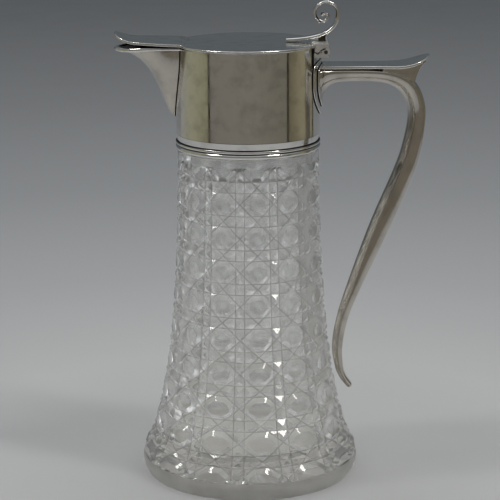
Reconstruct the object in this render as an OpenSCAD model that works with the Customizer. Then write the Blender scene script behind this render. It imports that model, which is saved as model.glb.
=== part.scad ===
// Claret jug: a cut-glass body in a silver collar with a spout, a hinged lid and a hollow handle.
// Origin at the centre of the base. +Z is up, the handle is on +X and the spout on -X. Millimetres.

/* [Glass body] */
// Diameter of the flat that the jug stands on
foot_d = 116.4; // [106:0.2:119]
// Widest diameter, at the rounded heel
heel_d = 121.4; // [120:0.2:134]
// Height of the widest place
heel_z = 8; // [6:0.5:10]
// Diameter that the flare closes to as it rises
waist_d = 76; // [75:0.2:77]
// Height over which the flare falls to about a third
flare_length = 55; // [45:1:62]
// Swell above the heel, outside the flare
heel_swell = 1.5; // [0:0.1:2.5]
// Height of the glass shoulder under the silver
shoulder_z = 184.4; // [160:0.2:210]
// Length of the glass neck inside the silver
neck_length = 14.6; // [11:0.2:16]
// Thickness of the glass wall
glass_wall = 7; // [5:0.1:9]
// Thickness of the glass bottom
glass_bottom = 15; // [11:0.5:22]
// Radius where the floor of the glass turns up into its wall
floor_round = 9; // [5:0.5:14]

/* [Cut pattern] */
// Columns of buttons round the glass
cut_columns = 13; // [11:1:14]
// Rows of buttons, the half rows at both ends counted as one
cut_rows = 9; // [8:1:10]
// Height where the pattern starts, at the middle of the lowest buttons
cut_bottom_z = 11.5; // [10:0.1:14]
// Depth of the pattern's end below the glass shoulder, at the middle of the highest buttons
cut_top_drop = 5.8; // [4:0.1:9]
// Width of the upright bands between the buttons, as a share of a column
upright_share = 0.25; // [0.2:0.01:0.32]
// Width of the level bands between the buttons
level_band = 6; // [4.5:0.1:7]
// Width of one mitre, a cut of V section
mitre_width = 5; // [3:0.1:6]
// Depth of one mitre
mitre_depth = 1.8; // [0.8:0.1:2.4]
// Height over which the mitres run out above and below the pattern
run_out = 1.6; // [0.8:0.1:2.4]

/* [Silver collar] */
// Outside diameter of the plain band
collar_d = 78.8; // [78:0.2:84]
// Thickness of the band
collar_wall = 1.2; // [0.8:0.1:1.6]
// Height of the plain band, from the skirt to its rim
band_height = 47.7; // [44:0.1:56]
// Height of the tapered skirt under the band
skirt_height = 3.9; // [2:0.1:5]
// How far the skirt draws in at its foot
skirt_taper = 0.6; // [0.2:0.1:0.8]
// Height of the lower bead
lower_reed_height = 3.1; // [2.4:0.1:3.6]
// Height of the upper bead
upper_reed_height = 1.9; // [1.5:0.1:2.6]
// How far the beads stand out from the foot of the skirt
reed_rise = 0.9; // [0.5:0.1:1.2]
// Thickness of the plaster between glass and silver
plaster_gap = 1.3; // [0.8:0.1:2]
// Thickness of the ring that covers the glass lip
lip_ring_height = 1.2; // [0.8:0.1:2]

/* [Spout] */
// Reach of the lip beyond the band
spout_reach = 33; // [26:0.5:38]
// Height of the spout from its root to the rim of the band
spout_height = 39.4; // [30:0.2:40]
// Width of the spout where it leaves the band, at the rim
spout_width = 32; // [26:0.5:34]
// Thickness of the spout's sheet
spout_wall = 1.1; // [0.8:0.1:1.5]
// How far the pouring edge dips at its tip
lip_dip = 1.8; // [0:0.1:3]
// Diameter of the wire round the edge of the spout
rim_wire_d = 2.3; // [1.6:0.1:2.6]

/* [Lid] */
// How far the lid stands out past the band all round
lid_overhang = 0.6; // [0.3:0.1:1.2]
// Thickness of the lid
lid_thickness = 1.3; // [1:0.1:1.8]
// Gap between the closed lid and the rim of the band
lid_gap = 0.1; // [0.05:0.01:0.2]
// Rise of the tongue where it passes over the spout's wire
tongue_rise = 1.9; // [1.7:0.1:3]
// Further upward sweep of the tongue at its tip
tongue_sweep = 4.2; // [2:0.1:6]
// Width of the tongue at its root
tongue_width = 36; // [32:0.5:39]
// Width of the tongue where its round end starts
tongue_end_width = 27; // [20:0.5:31]
// Depth of the ring that centres the lid in the band
bezel_depth = 3.4; // [2:0.1:5]
// Thickness of that ring
bezel_wall = 0.9; // [0.7:0.1:1.4]
// Gap between that ring and the inside of the band
bezel_gap = 0.8; // [0.7:0.1:1.2]

/* [Hinge] */
// Diameter of the hinge pin
pin_d = 2; // [1.6:0.1:2.4]
// Running clearance between pin and knuckle, on the radius
pin_clearance = 0.05; // [0.02:0.01:0.1]
// Outside diameter of the knuckles
knuckle_d = 4.4; // [4:0.1:4.6]
// Length of the hinge along its pin
hinge_width = 33.6; // [26:0.2:36]
// Gap between neighbouring knuckles, along the pin
knuckle_gap = 0.15; // [0.1:0.05:0.3]
// Distance of the pin outside the band
pin_stand_off = 2.5; // [2.5:0.1:3.5]
// Depth of the pin below the rim of the band
pin_drop = 2.3; // [2.2:0.1:3]
// Depth of the bracket below the pin
bracket_depth = 3; // [2.6:0.1:4]
// How far the hinge leaf stands above the lid
leaf_rise = 0.5; // [0.3:0.1:1]
// Length of the leaf from the pin over the lid
leaf_length = 7.2; // [5:0.1:9]

/* [Thumbpiece] */
// Width of the strap at its tip
strap_width = 7; // [5:0.2:10]
// Thickness of the strap
strap_thickness = 2; // [1.2:0.1:2.4]
// Length of the strap from the pin to its tip on the lid
strap_length = 20.9; // [15:0.1:26]
// Radius of the scroll's outer turn, to the middle of the strap
scroll_radius = 6.35; // [5:0.05:8]
// Radius of the small turn in its eye
scroll_eye = 1.45; // [1.2:0.05:2]
// Height of the scroll's centre above the lid
scroll_height = 15.2; // [13:0.1:17]
// Diameter of the ball in the eye of the scroll
scroll_ball_d = 2.6; // [2:0.1:3.2]

/* [Handle] */
// Reach of the handle beyond the band
handle_reach = 57.6; // [45:0.2:65]
// Depth of the flat top of the handle below the rim of the band
handle_drop = 11; // [10:0.1:14]
// Height from the flat top down to the free end
handle_length = 184.4; // [165:0.2:190]
// Width of the handle at its arm
handle_width = 21; // [16:0.5:24]
// Thickness of the tube at its arm, under the plate
handle_depth = 7.8; // [6:0.1:9]
// How far the tube flares down where it meets the saddle
root_flare = 11.5; // [5:0.5:13]
// Thickness of the flat plate on top of the arm
top_plate_thickness = 1.5; // [1:0.1:2.2]
// Width of the thumb rest at the outer end of that plate
thumb_rest_width = 26; // [20:0.5:30]
// Rise of the thumb rest at its tip
thumb_rest_rise = 5.3; // [3:0.1:7]
// Width of the lower saddle plate on the band
saddle_width = 38; // [34:0.5:44]
// Height of the lower saddle plate
saddle_height = 30.5; // [28:0.5:32]
// Thickness of each of the two saddle plates
saddle_thickness = 0.8; // [0.5:0.1:1]
// Width of the border that the upper saddle plate leaves
saddle_border = 4; // [3:0.5:5]

/* [Hidden] */
$fn = 96;

silver = "gainsboro";
crystal = [0.86, 0.9, 0.92, 0.45];
// Film of solder between pieces that are joined
film = 0.03;
// Extra length of a cutting tool past what it cuts
past = 1;
// Clearance round the knuckles and over the wire, where the lid's pieces turn past the jug's
swing_gap = 0.25;

foot_r = foot_d / 2;
heel_r = heel_d / 2;
waist_r = waist_d / 2;
collar_r = collar_d / 2;
bore_r = collar_r - collar_wall;
neck_r = bore_r - plaster_gap;
neck_z = shoulder_z + neck_length;
mouth_r = neck_r - glass_wall + 2;
lower_reed_z = shoulder_z + film;
upper_reed_z = lower_reed_z + lower_reed_height;
skirt_z = upper_reed_z + upper_reed_height;
band_z = skirt_z + skirt_height;
rim_z = band_z + band_height;
lid_z = rim_z + lid_gap;
lid_top = lid_z + lid_thickness;
lid_r = collar_r + lid_overhang;
pin_x = collar_r + pin_stand_off;
pin_z = rim_z - pin_drop;
pin_r = pin_d / 2;
knuckle_r = knuckle_d / 2;
arm_z = rim_z - handle_drop;

// Curves through points of any dimension
function lerp(a, b, t) = a + (b - a) * t;
function bezier(p, t) =
    pow(1 - t, 3) * p[0] + 3 * pow(1 - t, 2) * t * p[1] + 3 * (1 - t) * t * t * p[2] + pow(t, 3) * p[3];
function spline(p, i, t) =
    let (a = p[max(i - 1, 0)], b = p[i], c = p[i + 1], d = p[min(i + 2, len(p) - 1)])
    0.5 * (2 * b + (c - a) * t + (2 * a - 5 * b + 4 * c - d) * t * t + (3 * b - a - 3 * c + d) * t * t * t);
function unit(v) = v / norm(v);
function total(list, i = 0) = i == len(list) - 1 ? list[i] : list[i] + total(list, i + 1);
function reversed(list) = [for (i = [len(list) - 1 : -1 : 0]) list[i]];
function mirrored(half) = concat(half, [for (p = reversed(half)) [-p[0], p[1]]]);
function on_cylinder(r, y) = sqrt(r * r - y * y);
// Power that keeps the sign, for curves between an ellipse and a rectangle
function power(v, e) = sign(v) * pow(abs(v), e);

// Closed skin over a list of rings of equal length, with a fan of triangles over each end
module skin(rings) {
    n = len(rings[0]);
    last = len(rings) - 1;
    points = concat([for (r = rings) each r], [total(rings[0]) / n, total(rings[last]) / n]);
    tip = len(points) - 2;
    sides = [for (j = [0 : last - 1]) for (i = [0 : n - 1]) let (k = (i + 1) % n) each [
        [j * n + i, (j + 1) * n + k, j * n + k],
        [j * n + i, (j + 1) * n + i, (j + 1) * n + k]
    ]];
    ends = [for (i = [0 : n - 1]) let (k = (i + 1) % n) each [
        [tip, i, k],
        [tip + 1, last * n + k, last * n + i]
    ]];
    polyhedron(points, concat(sides, ends));
}
// Outline in the XZ plane, carried sideways to both sides of the middle
module side_profile(points, width) {
    translate([0, width / 2, 0]) rotate([90, 0, 0]) linear_extrude(width) polygon(points);
}
module tube_ring(inner_r, outer_r, z, height) {
    translate([0, 0, z]) difference() {
        cylinder(r = outer_r, h = height);
        translate([0, 0, -past]) cylinder(r = inner_r, h = height + 2 * past);
    }
}
// Rod along the hinge's axis, between two places across the jug
module pin_rod(r, y0, y1) {
    translate([pin_x, y1, pin_z]) rotate([90, 0, 0]) cylinder(r = r, h = y1 - y0);
}

// Radius of the glass at a height: rounded foot, widest heel, then a flare that dies away upwards
swell_rise = 7;
swell_z = heel_z + swell_rise;
swell_spread = 5;
// Height over which it starts
swell_start = 4;
function swell(z) =
    heel_swell * exp(-pow((z - swell_z) / swell_spread, 2)) * min(1, (z - heel_z) / swell_start);
function glass_r(z) = z < heel_z
    ? lerp(foot_r, heel_r, sin(90 * z / heel_z))
    : waist_r + (heel_r - waist_r) * exp((heel_z - z) / flare_length) + swell(z);
// Inside of the glass: a round-cornered floor, then a wall of even thickness
cavity_top = glass_bottom + floor_round;
function cavity_wall_r(z) = glass_r(z) - glass_wall;
function floor_point(a) = [
    cavity_wall_r(cavity_top) - floor_round * (1 - sin(a)),
    glass_bottom + floor_round * (1 - cos(a))
];

// The pattern is cut in columns and rows of buttons. Pairs of upright and level mitres frame each
// button, and slanting mitres join the middles of the bands between, so every button is an octagon.
// A place in it is [column, height, distance to the nearest mitre], and the mitres set the depth.
cut_top_z = shoulder_z - cut_top_drop;
row_pitch = (cut_top_z - cut_bottom_z) / cut_rows;
mitre_r = mitre_width / 2;
half_x = (1 - upright_share) / 2;
half_y = (1 - level_band / row_pitch) / 2;
function row_z(row) = cut_bottom_z + row * row_pitch;
function column_pitch(row) = 2 * PI * glass_r(row_z(row)) / cut_columns;
function cut_point(column, row, x, y, from_mitre) =
    let (
        z = row_z(row) + y * row_pitch,
        r = glass_r(z) - mitre_depth * max(0, 1 - from_mitre / mitre_r),
        a = 360 * (column + x) / cut_columns
    )
    [r * cos(a), r * sin(a), z];
// Radius of the circle that fits a triangle with a base and a height, both sides alike
function inner_radius(base, height) = base * height / (base + 2 * norm([base / 2, height]));

// Places along the middle of a row of buttons, from one upright mitre to the next
M_LEFT = 0; TABLE_LEFT = 1; TABLE_RIGHT = 2; M_RIGHT = 3; SIDE = 4; CROSS = 5; SIDE_FAR = 6;
MIDDLE_COUNT = 7;
function middle_points(column, row) =
    let (
        px = column_pitch(row),
        side = inner_radius(2 * (0.5 - half_x) * row_pitch, (0.5 - half_x) * px),
        table = half_x - mitre_r / px,
        hob = half_x + side / px
    )
    [for (p = [
            [-half_x, 0], [-table, mitre_r], [table, mitre_r], [half_x, 0],
            [hob, side], [0.5, 0], [1 - hob, side]
        ])
        cut_point(column, row, p[0], 0, p[1])];

// Places in one half of a button and beside it, above its middle (way = 1) or below it (way = -1)
T1 = 0; T2 = 1; T3 = 2; T4 = 3; V1 = 4; V2 = 5; V3 = 6; V4 = 7; C1 = 8; C2 = 9; K1 = 10; K2 = 11; TOP = 12; BAND = 13;
HALF_COUNT = 14;
function half_points(column, row, way) =
    let (
        px = column_pitch(row),
        py = row_pitch,
        slant = norm([1 / px, 1 / py]),
        table_x = half_x - mitre_r / px,
        table_y = half_y - mitre_r / py,
        t1 = 0.5 - mitre_r * slant - table_x,
        t2 = 0.5 - mitre_r * slant - table_y,
        v1 = 0.5 - half_x,
        v2 = 0.5 - half_y,
        legs = [(half_x - v2) * px, (half_y - v1) * py],
        corner = (legs[0] + legs[1] - norm(legs)) / 2,
        top = inner_radius(2 * v2 * px, v2 * py),
        band_y = half_y / (1 + 1 / (py * slant)),
        band = min(v1 * px, (half_y - band_y) * py)
    )
    [for (p = [
            [table_x, t1, mitre_r], [t2, table_y, mitre_r], [-t2, table_y, mitre_r], [-table_x, t1, mitre_r],
            [half_x, v1, 0], [v2, half_y, 0], [-v2, half_y, 0], [-half_x, v1, 0],
            [half_x, half_y, 0], [-half_x, half_y, 0],
            [half_x - corner / px, half_y - corner / py, corner],
            [-half_x + corner / px, half_y - corner / py, corner],
            [0, half_y + top / py, top], [0.5, band_y, band]
        ])
        cut_point(column, row, p[0], way * p[1], p[2])];

// Places along the middle of the level band above a row
CENTRE = 0; HOB_RIGHT = 1; HOB_LEFT = 2; CORNER = 3;
BAND_COUNT = 4;
function band_points(column, row) =
    let (
        px = column_pitch(row + 0.5),
        py = row_pitch,
        slant = norm([1 / px, 1 / py]),
        hob = half_x / (1 + 1 / (px * slant)),
        high = min(level_band / 2, (half_x - hob) * px)
    )
    [for (p = [[0, 0], [hob, high], [-hob, high], [0.5, min(level_band / 2, (0.5 - half_x) * px)]])
        cut_point(column, row, p[0], 0.5, p[1])];

// Each corner of a facet is [group, columns to the right, place]
LOW = 0; HIGH = 1; LOW_MIDDLE = 2; HIGH_MIDDLE = 3; LEVEL = 4;
CELL_COUNT = 2 * HALF_COUNT + BAND_COUNT;
function corner_index(column, row, c) =
    let (k = (column + c[1]) % cut_columns)
    c[0] == LOW_MIDDLE || c[0] == HIGH_MIDDLE
        ? ((row + c[0] - LOW_MIDDLE) * cut_columns + k) * MIDDLE_COUNT + c[2]
        : (cut_rows + 1) * cut_columns * MIDDLE_COUNT + (row * cut_columns + k) * CELL_COUNT
            + (c[0] == LOW ? 0 : c[0] == HIGH ? HALF_COUNT : 2 * HALF_COUNT) + c[2];
function quad(a, b, c, d) = [[a, b, c], [a, c, d]];
function roof(top, ring) = [for (i = [0 : len(ring) - 1]) [ring[i], ring[(i + 1) % len(ring)], top]];
function half_facets(half, middle) =
    let (
        t1 = [half, 0, T1], t2 = [half, 0, T2], t3 = [half, 0, T3], t4 = [half, 0, T4],
        v1 = [half, 0, V1], v2 = [half, 0, V2], v3 = [half, 0, V3], v4 = [half, 0, V4],
        c1 = [half, 0, C1], next_c2 = [half, 1, C2], next_v4 = [half, 1, V4],
        left = [middle, 0, TABLE_LEFT], right = [middle, 0, TABLE_RIGHT],
        m1 = [middle, 0, M_RIGHT], m2 = [middle, 0, M_LEFT], next_m2 = [middle, 1, M_LEFT],
        side = [middle, 0, SIDE], cross = [middle, 0, CROSS], side_far = [middle, 0, SIDE_FAR]
    )
    concat(
        quad(left, right, t1, t4), quad(t4, t1, t2, t3),
        quad(right, m1, v1, t1), quad(t1, v1, v2, t2), quad(t2, v2, v3, t3), quad(t3, v3, v4, t4),
        quad(t4, v4, m2, left),
        roof([half, 0, K1], [v1, c1, v2]), roof([half, 0, K2], [v3, [half, 0, C2], v4]),
        roof([half, 0, TOP], [v2, [LEVEL, 0, CENTRE], v3]),
        roof([half, 0, BAND], [cross, next_v4, next_c2, c1, v1]),
        [[m1, side, v1], [side, cross, v1], [cross, side_far, next_v4], [side_far, next_m2, next_v4]]
    );
function level_facets() =
    let (
        a1 = [LOW, 0, C1], a2 = [LOW, 0, C2], b1 = [HIGH, 0, C1], b2 = [HIGH, 0, C2],
        centre = [LEVEL, 0, CENTRE]
    )
    concat(
        roof([LEVEL, 0, HOB_RIGHT], [centre, [LOW, 0, V2], a1, b1, [HIGH, 0, V2]]),
        roof([LEVEL, 0, HOB_LEFT], [centre, [HIGH, 0, V3], b2, a2, [LOW, 0, V3]]),
        roof([LEVEL, 0, CORNER], [a1, [LOW, 1, C2], [HIGH, 1, C2], b1])
    );
module cut_sleeve() {
    ring_count = cut_columns * MIDDLE_COUNT;
    middles = [for (row = [0 : cut_rows]) for (k = [0 : cut_columns - 1]) each middle_points(k, row)];
    cells = [for (row = [0 : cut_rows - 1]) for (k = [0 : cut_columns - 1]) each concat(
        half_points(k, row, 1), half_points(k, row + 1, -1), band_points(k, row)
    )];
    // Plain circles below and above, where the mitres have run out
    ends = [for (z = [cut_bottom_z - run_out, cut_top_z + run_out]) each
        [for (p = [for (k = [0 : cut_columns - 1]) each middle_points(k, 0)])
            let (d = unit([p[0], p[1]])) [glass_r(z) * d[0], glass_r(z) * d[1], z]]];
    points = concat(middles, cells, ends, [[0, 0, cut_bottom_z - run_out], [0, 0, cut_top_z + run_out]]);
    low_end = len(middles) + len(cells);
    high_end = low_end + ring_count;
    cell_facets = concat(
        half_facets(LOW, LOW_MIDDLE),
        [for (f = half_facets(HIGH, HIGH_MIDDLE)) reversed(f)],
        level_facets()
    );
    facets = concat(
        [for (row = [0 : cut_rows - 1]) for (k = [0 : cut_columns - 1]) for (f = cell_facets)
            [for (c = f) corner_index(k, row, c)]],
        [for (i = [0 : ring_count - 1])
            let (n = (i + 1) % ring_count, top = cut_rows * ring_count) each concat(
                quad(low_end + i, low_end + n, n, i),
                quad(top + i, top + n, high_end + n, high_end + i),
                [[high_end + ring_count, low_end + n, low_end + i]],
                [[high_end + ring_count + 1, high_end + i, high_end + n]]
            )]
    );
    polyhedron(points, [for (f = facets) reversed(f)]);
}

module glass_body() {
    heel_top = cut_bottom_z - run_out;
    neck_start = cut_top_z + run_out;
    // Foot and neck reach into the cut part with a thinner core
    core_r = neck_r - mitre_depth;
    foot = concat(
        [[0, 0]],
        [for (i = [0 : 6]) let (z = heel_z * i / 6) [glass_r(z), z]],
        [[glass_r(heel_top) + film, heel_top], [core_r, heel_top], [core_r, glass_bottom], [0, glass_bottom]]
    );
    neck = [
        [0, neck_start - run_out], [core_r, neck_start - run_out], [core_r, neck_start],
        [glass_r(neck_start) + film, neck_start], [glass_r(shoulder_z), shoulder_z],
        [neck_r, shoulder_z], [neck_r, neck_z], [0, neck_z]
    ];
    inside = concat(
        [[0, glass_bottom]],
        [for (i = [0 : 6]) floor_point(15 * i)],
        [for (i = [1 : 12]) let (z = lerp(cavity_top, shoulder_z, i / 12)) [cavity_wall_r(z), z]],
        [[mouth_r, neck_z], [mouth_r, neck_z + past], [0, neck_z + past]]
    );
    color(crystal) difference() {
        union() {
            cut_sleeve();
            rotate_extrude() polygon(foot);
            rotate_extrude() polygon(neck);
        }
        rotate_extrude() polygon(inside);
    }
}

module mount_plaster() {
    color("white") tube_ring(neck_r + film, bore_r - film, shoulder_z + film, neck_length - film);
}
module lip_ring() {
    color(silver) tube_ring(mouth_r, bore_r - film, neck_z + film, lip_ring_height);
}

// Half-round bead on a thin backing
reed_backing = 0.5;
module reed(z, height) {
    outer_r = collar_r - skirt_taper + reed_rise;
    color(silver) {
        tube_ring(bore_r, bore_r + reed_backing, z, height);
        difference() {
            rotate_extrude() translate([outer_r - height / 2, z + height / 2]) circle(height / 2);
            cylinder(r = bore_r + reed_backing, h = rim_z);
        }
    }
}
module lower_reed() {
    reed(lower_reed_z, lower_reed_height);
}
module upper_reed() {
    reed(upper_reed_z, upper_reed_height);
}
module collar_skirt() {
    color(silver) rotate_extrude() polygon([
        [bore_r, skirt_z], [collar_r - skirt_taper, skirt_z], [collar_r, band_z], [bore_r, band_z]
    ]);
}

// The spout is a stack of blunt noses. Each leaves the band at a half width that grows from nothing
// at the root, and its nose lies on the keel, the curve of the spout's underside.
wire_r = rim_wire_d / 2;
// Height of the wire's middle over the rim of the band
wire_lift = 0.7;
// Solder seam between the wire and the edge of the sheet
wire_seam = 0.12;
edge_z = rim_z + wire_lift - wire_r - wire_seam;
spout_root = [collar_r, rim_z - spout_height];
spout_tip = [collar_r + spout_reach - rim_wire_d, edge_z - lip_dip];
keel = [
    spout_root,
    spout_root + [0.26 * spout_reach, 0.085 * spout_height],
    [collar_r + 0.23 * spout_reach, spout_tip[1] - 0.085 * spout_height],
    spout_tip
];
function keel_normal(t) =
    let (d = unit(bezier(keel, min(t + 0.01, 1)) - bezier(keel, min(t + 0.01, 1) - 0.01))) [-d[1], d[0]];
function junction_z(t) =
    lerp(spout_root[1], edge_z, (bezier(keel, t)[1] - spout_root[1]) / (spout_tip[1] - spout_root[1]));
function spout_half_width(t) =
    spout_width / 2 * pow(sin(90 * (junction_z(t) - spout_root[1]) / spout_height), 0.8);
// One nose at level t, drawn in by inset from the outer face
function nose(t, inset) =
    let (
        k = bezier(keel, t) + inset * keel_normal(t),
        w = max(spout_half_width(t) - inset, 0.6 * spout_half_width(t)),
        x0 = on_cylinder(collar_r + film, w),
        reach = max(k[0] - x0, 0.2),
        side_z = junction_z(t),
        blunt = lerp(2.6, 4, t)
    )
    [for (i = [0 : nose_steps]) let (a = -90 + 180 * i / nose_steps, side = power(sin(a), 1.25))
        [-x0 - reach * pow(max(cos(a), 0), 2 / blunt), w * side, lerp(k[1], side_z, side * side)]];
nose_steps = 20;
spout_levels = [for (i = [0 : 13]) lerp(0.06, 1, i / 13)];

// Sheet between an outer and an inner grid of points, closed along its edges and at its root
module sheet(outer, inner, outer_root, inner_root) {
    n = len(outer[0]);
    rows = len(outer);
    count = n * rows;
    points = concat([for (r = outer) each r], [for (r = inner) each r], [outer_root, inner_root]);
    root = 2 * count;
    faces_out = [for (j = [0 : rows - 2]) for (i = [0 : n - 2]) let (p = j * n + i) each [
        [p, p + n, p + n + 1], [p, p + n + 1, p + 1]
    ]];
    faces_in = [for (f = faces_out) [f[2] + count, f[1] + count, f[0] + count]];
    rim = [for (i = [0 : n - 2]) let (p = (rows - 1) * n + i) each [
        [p, p + count, p + count + 1], [p, p + count + 1, p + 1]
    ]];
    left = [for (j = [0 : rows - 2]) let (p = j * n) each [
        [p, p + count, p + n + count], [p, p + n + count, p + n]
    ]];
    right = [for (j = [0 : rows - 2]) let (p = j * n + n - 1) each [
        [p, p + n, p + n + count], [p, p + n + count, p + count]
    ]];
    foot = concat(
        [for (i = [0 : n - 2]) [root, i, i + 1]],
        [for (i = [0 : n - 2]) [root + 1, i + 1 + count, i + count]],
        [[root, root + 1, count], [root, count, 0]],
        [[root, n - 1, n - 1 + count], [root, n - 1 + count, root + 1]]
    );
    polyhedron(points, [for (f = concat(faces_out, faces_in, rim, left, right, foot)) reversed(f)]);
}
module spout_shell() {
    x = -collar_r - film;
    color(silver) sheet(
        [for (t = spout_levels) nose(t, 0)],
        [for (t = spout_levels) nose(t, spout_wall)],
        [x, 0, spout_root[1]],
        [x, 0, spout_root[1] + 1.3 * spout_wall]
    );
}

module collar_band() {
    // The way through the band is a little smaller than the inside of the spout all round
    half = concat(
        [[0, spout_root[1] + 3 * spout_wall]],
        [for (t = spout_levels) [max(nose(t, spout_wall)[nose_steps][1] - film, 0), junction_z(t) + 2 * spout_wall]]
    );
    color(silver) difference() {
        tube_ring(bore_r, collar_r, band_z, band_height);
        rotate([90, 0, -90]) linear_extrude(collar_d) polygon(mirrored(half));
    }
}

// Round wire on the edge of the spout, from one side of the band to the other
module spout_rim_wire() {
    outer = nose(1, 0);
    inner = nose(1, spout_wall);
    below = nose(0.95, 0);
    middle = (outer + inner) / 2;
    sides = 10;
    rings = [for (i = [0 : nose_steps])
        let (
            along = unit(middle[min(i + 1, nose_steps)] - middle[max(i - 1, 0)]),
            slope = outer[i] - below[i],
            up = unit(slope - (slope * along) * along),
            out = cross(along, up),
            centre = middle[i] + (wire_r + wire_seam) * up
        )
        [for (k = [0 : sides - 1]) let (a = 360 * k / sides) centre + wire_r * (cos(a) * out + sin(a) * up)]
    ];
    // Both ends run on into the band, where they are cut off
    run_in = [for (p = rings[0]) [3, 0, 0]];
    color(silver) difference() {
        skin(concat([rings[0] + run_in], rings, [rings[nose_steps] + run_in]));
        cylinder(r = collar_r + film, h = rim_z + rim_wire_d);
    }
}

// Shield outline in the YZ plane: nearly square above its widest place, elliptical below
function shield(half_width, up, down) = concat(
    [for (a = [0 : 9 : 90]) [half_width * pow(cos(a), 0.44), up * pow(sin(a), 0.44)]],
    [for (a = [99 : 9 : 171]) [-half_width * pow(-cos(a), 0.44), up * pow(sin(a), 0.44)]],
    [for (a = [180 : 9 : 351]) [half_width * cos(a), down * sin(a)]]
);
saddle_up = 0.38 * saddle_height;
saddle_down = saddle_height - saddle_up;
// Gap between the hinge bracket and the saddle
saddle_drop = 2.4;
saddle_z = pin_z - bracket_depth - saddle_drop - saddle_up;
module saddle(inner_r, inset) {
    color(silver) intersection() {
        tube_ring(inner_r, inner_r + saddle_thickness, 0, rim_z);
        translate([0, 0, saddle_z]) rotate([90, 0, 90]) linear_extrude(lid_r + pin_x)
            polygon(shield(saddle_width / 2 - inset, saddle_up - 0.6 * inset, saddle_down - inset));
    }
}
saddle_face_r = collar_r + 2 * (saddle_thickness + film);
module saddle_lower() {
    saddle(collar_r + film, 0);
}
module saddle_upper() {
    saddle(collar_r + 2 * film + saddle_thickness, saddle_border);
}

// Route of the tube's middle, from the saddle out along the arm, round the bend and down to the free
// end: [reach from the body, fall below the arm, thickness, width], each as a share of the
// handle's own size. The reach is counted from whatever lies inside, glass or band, so the handle
// keeps its distance from the flare.
plate_z = arm_z - top_plate_thickness;
arm_middle_z = plate_z - handle_depth / 2;
handle_stations = [
    [-0.02, 0, 1, 1], [0.28, 0, 1, 1], [0.53, 0.002, 1, 0.98],
    [0.7, 0.013, 1.09, 0.94], [0.83, 0.04, 1.24, 0.9], [0.9, 0.084, 1.24, 0.87],
    [0.915, 0.14, 1.23, 0.84], [0.866, 0.234, 1.33, 0.8], [0.78, 0.317, 1.38, 0.77],
    [0.55, 0.483, 1.36, 0.7], [0.268, 0.682, 0.94, 0.57], [0.148, 0.775, 0.8, 0.5],
    [0.074, 0.861, 0.76, 0.44], [0.062, 0.928, 0.6, 0.37], [0.08, 0.963, 0.48, 0.33],
    [0.124, 0.991, 0.43, 0.3]
];
function body_r(z) = max(glass_r(z), collar_r);
function station(s) =
    let (z = lerp(arm_middle_z, arm_z - handle_length, s[1]))
    [body_r(z) + handle_reach * s[0], z, handle_depth * s[2], handle_width * s[3]];
handle_points = [for (s = handle_stations) station(s)];
station_steps = 4;
handle_route = concat(
    [for (i = [0 : len(handle_points) - 2]) for (k = [0 : station_steps - 1])
        spline(handle_points, i, k / station_steps)],
    [handle_points[len(handle_points) - 1]]
);
function route_out(i) =
    let (a = handle_route[max(i - 1, 0)], b = handle_route[min(i + 1, len(handle_route) - 1)])
    unit([a[1] - b[1], b[0] - a[0]]);
function outer_edge(i) = [handle_route[i][0], handle_route[i][1]] + handle_route[i][2] / 2 * route_out(i);

// Section of the tube: flat-topped outside, half an ellipse inside
section_count = 24;
shoulder_share = 0.25;
// Length over which the tube spreads towards the saddle, and how much wider it gets
root_length = 3.2;
root_spread = 6;
function section(i, shrink = 1) =
    let (
        p = handle_route[i],
        n = route_out(i),
        root = exp((collar_r - p[0]) / root_length) * (i < len(handle_route) / 2 ? 1 : 0),
        depth = p[2] * shrink,
        width = (p[3] + root_spread * min(root, 1)) * shrink,
        flare = root_flare * min(root, 1.1)
    )
    [for (k = [0 : section_count - 1])
        let (
            a = 360 * k / section_count,
            y = width / 2 * power(cos(a), sin(a) > 0 ? 0.6 : 1),
            v = sin(a) > 0
                ? depth * (0.5 - shoulder_share + shoulder_share * power(sin(a), 0.6))
                : depth * (0.5 - shoulder_share) + (depth * (1 - shoulder_share) + flare) * sin(a)
        )
        [p[0] + v * n[0], y, p[1] + v * n[1]]];
module handle_tube() {
    last = len(handle_route) - 1;
    // The free end closes in three shrinking rings
    close = [for (a = [30, 55, 75]) let (
            d = unit([for (k = [0, 1]) handle_route[last][k] - handle_route[last - 1][k]]),
            step = handle_route[last][2] / 2 * sin(a)
        )
        [for (p = section(last, cos(a))) p + step * [d[0], 0, d[1]]]];
    color(silver) difference() {
        skin(concat([for (i = [0 : last]) section(i)], close));
        cylinder(r = saddle_face_r + film, h = rim_z);
    }
}

// How far the thumb rest stands out past the handle's reach
thumb_overhang = 1.8;
// Length over which the plate widens before it sweeps up
plate_spread = 12;
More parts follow.
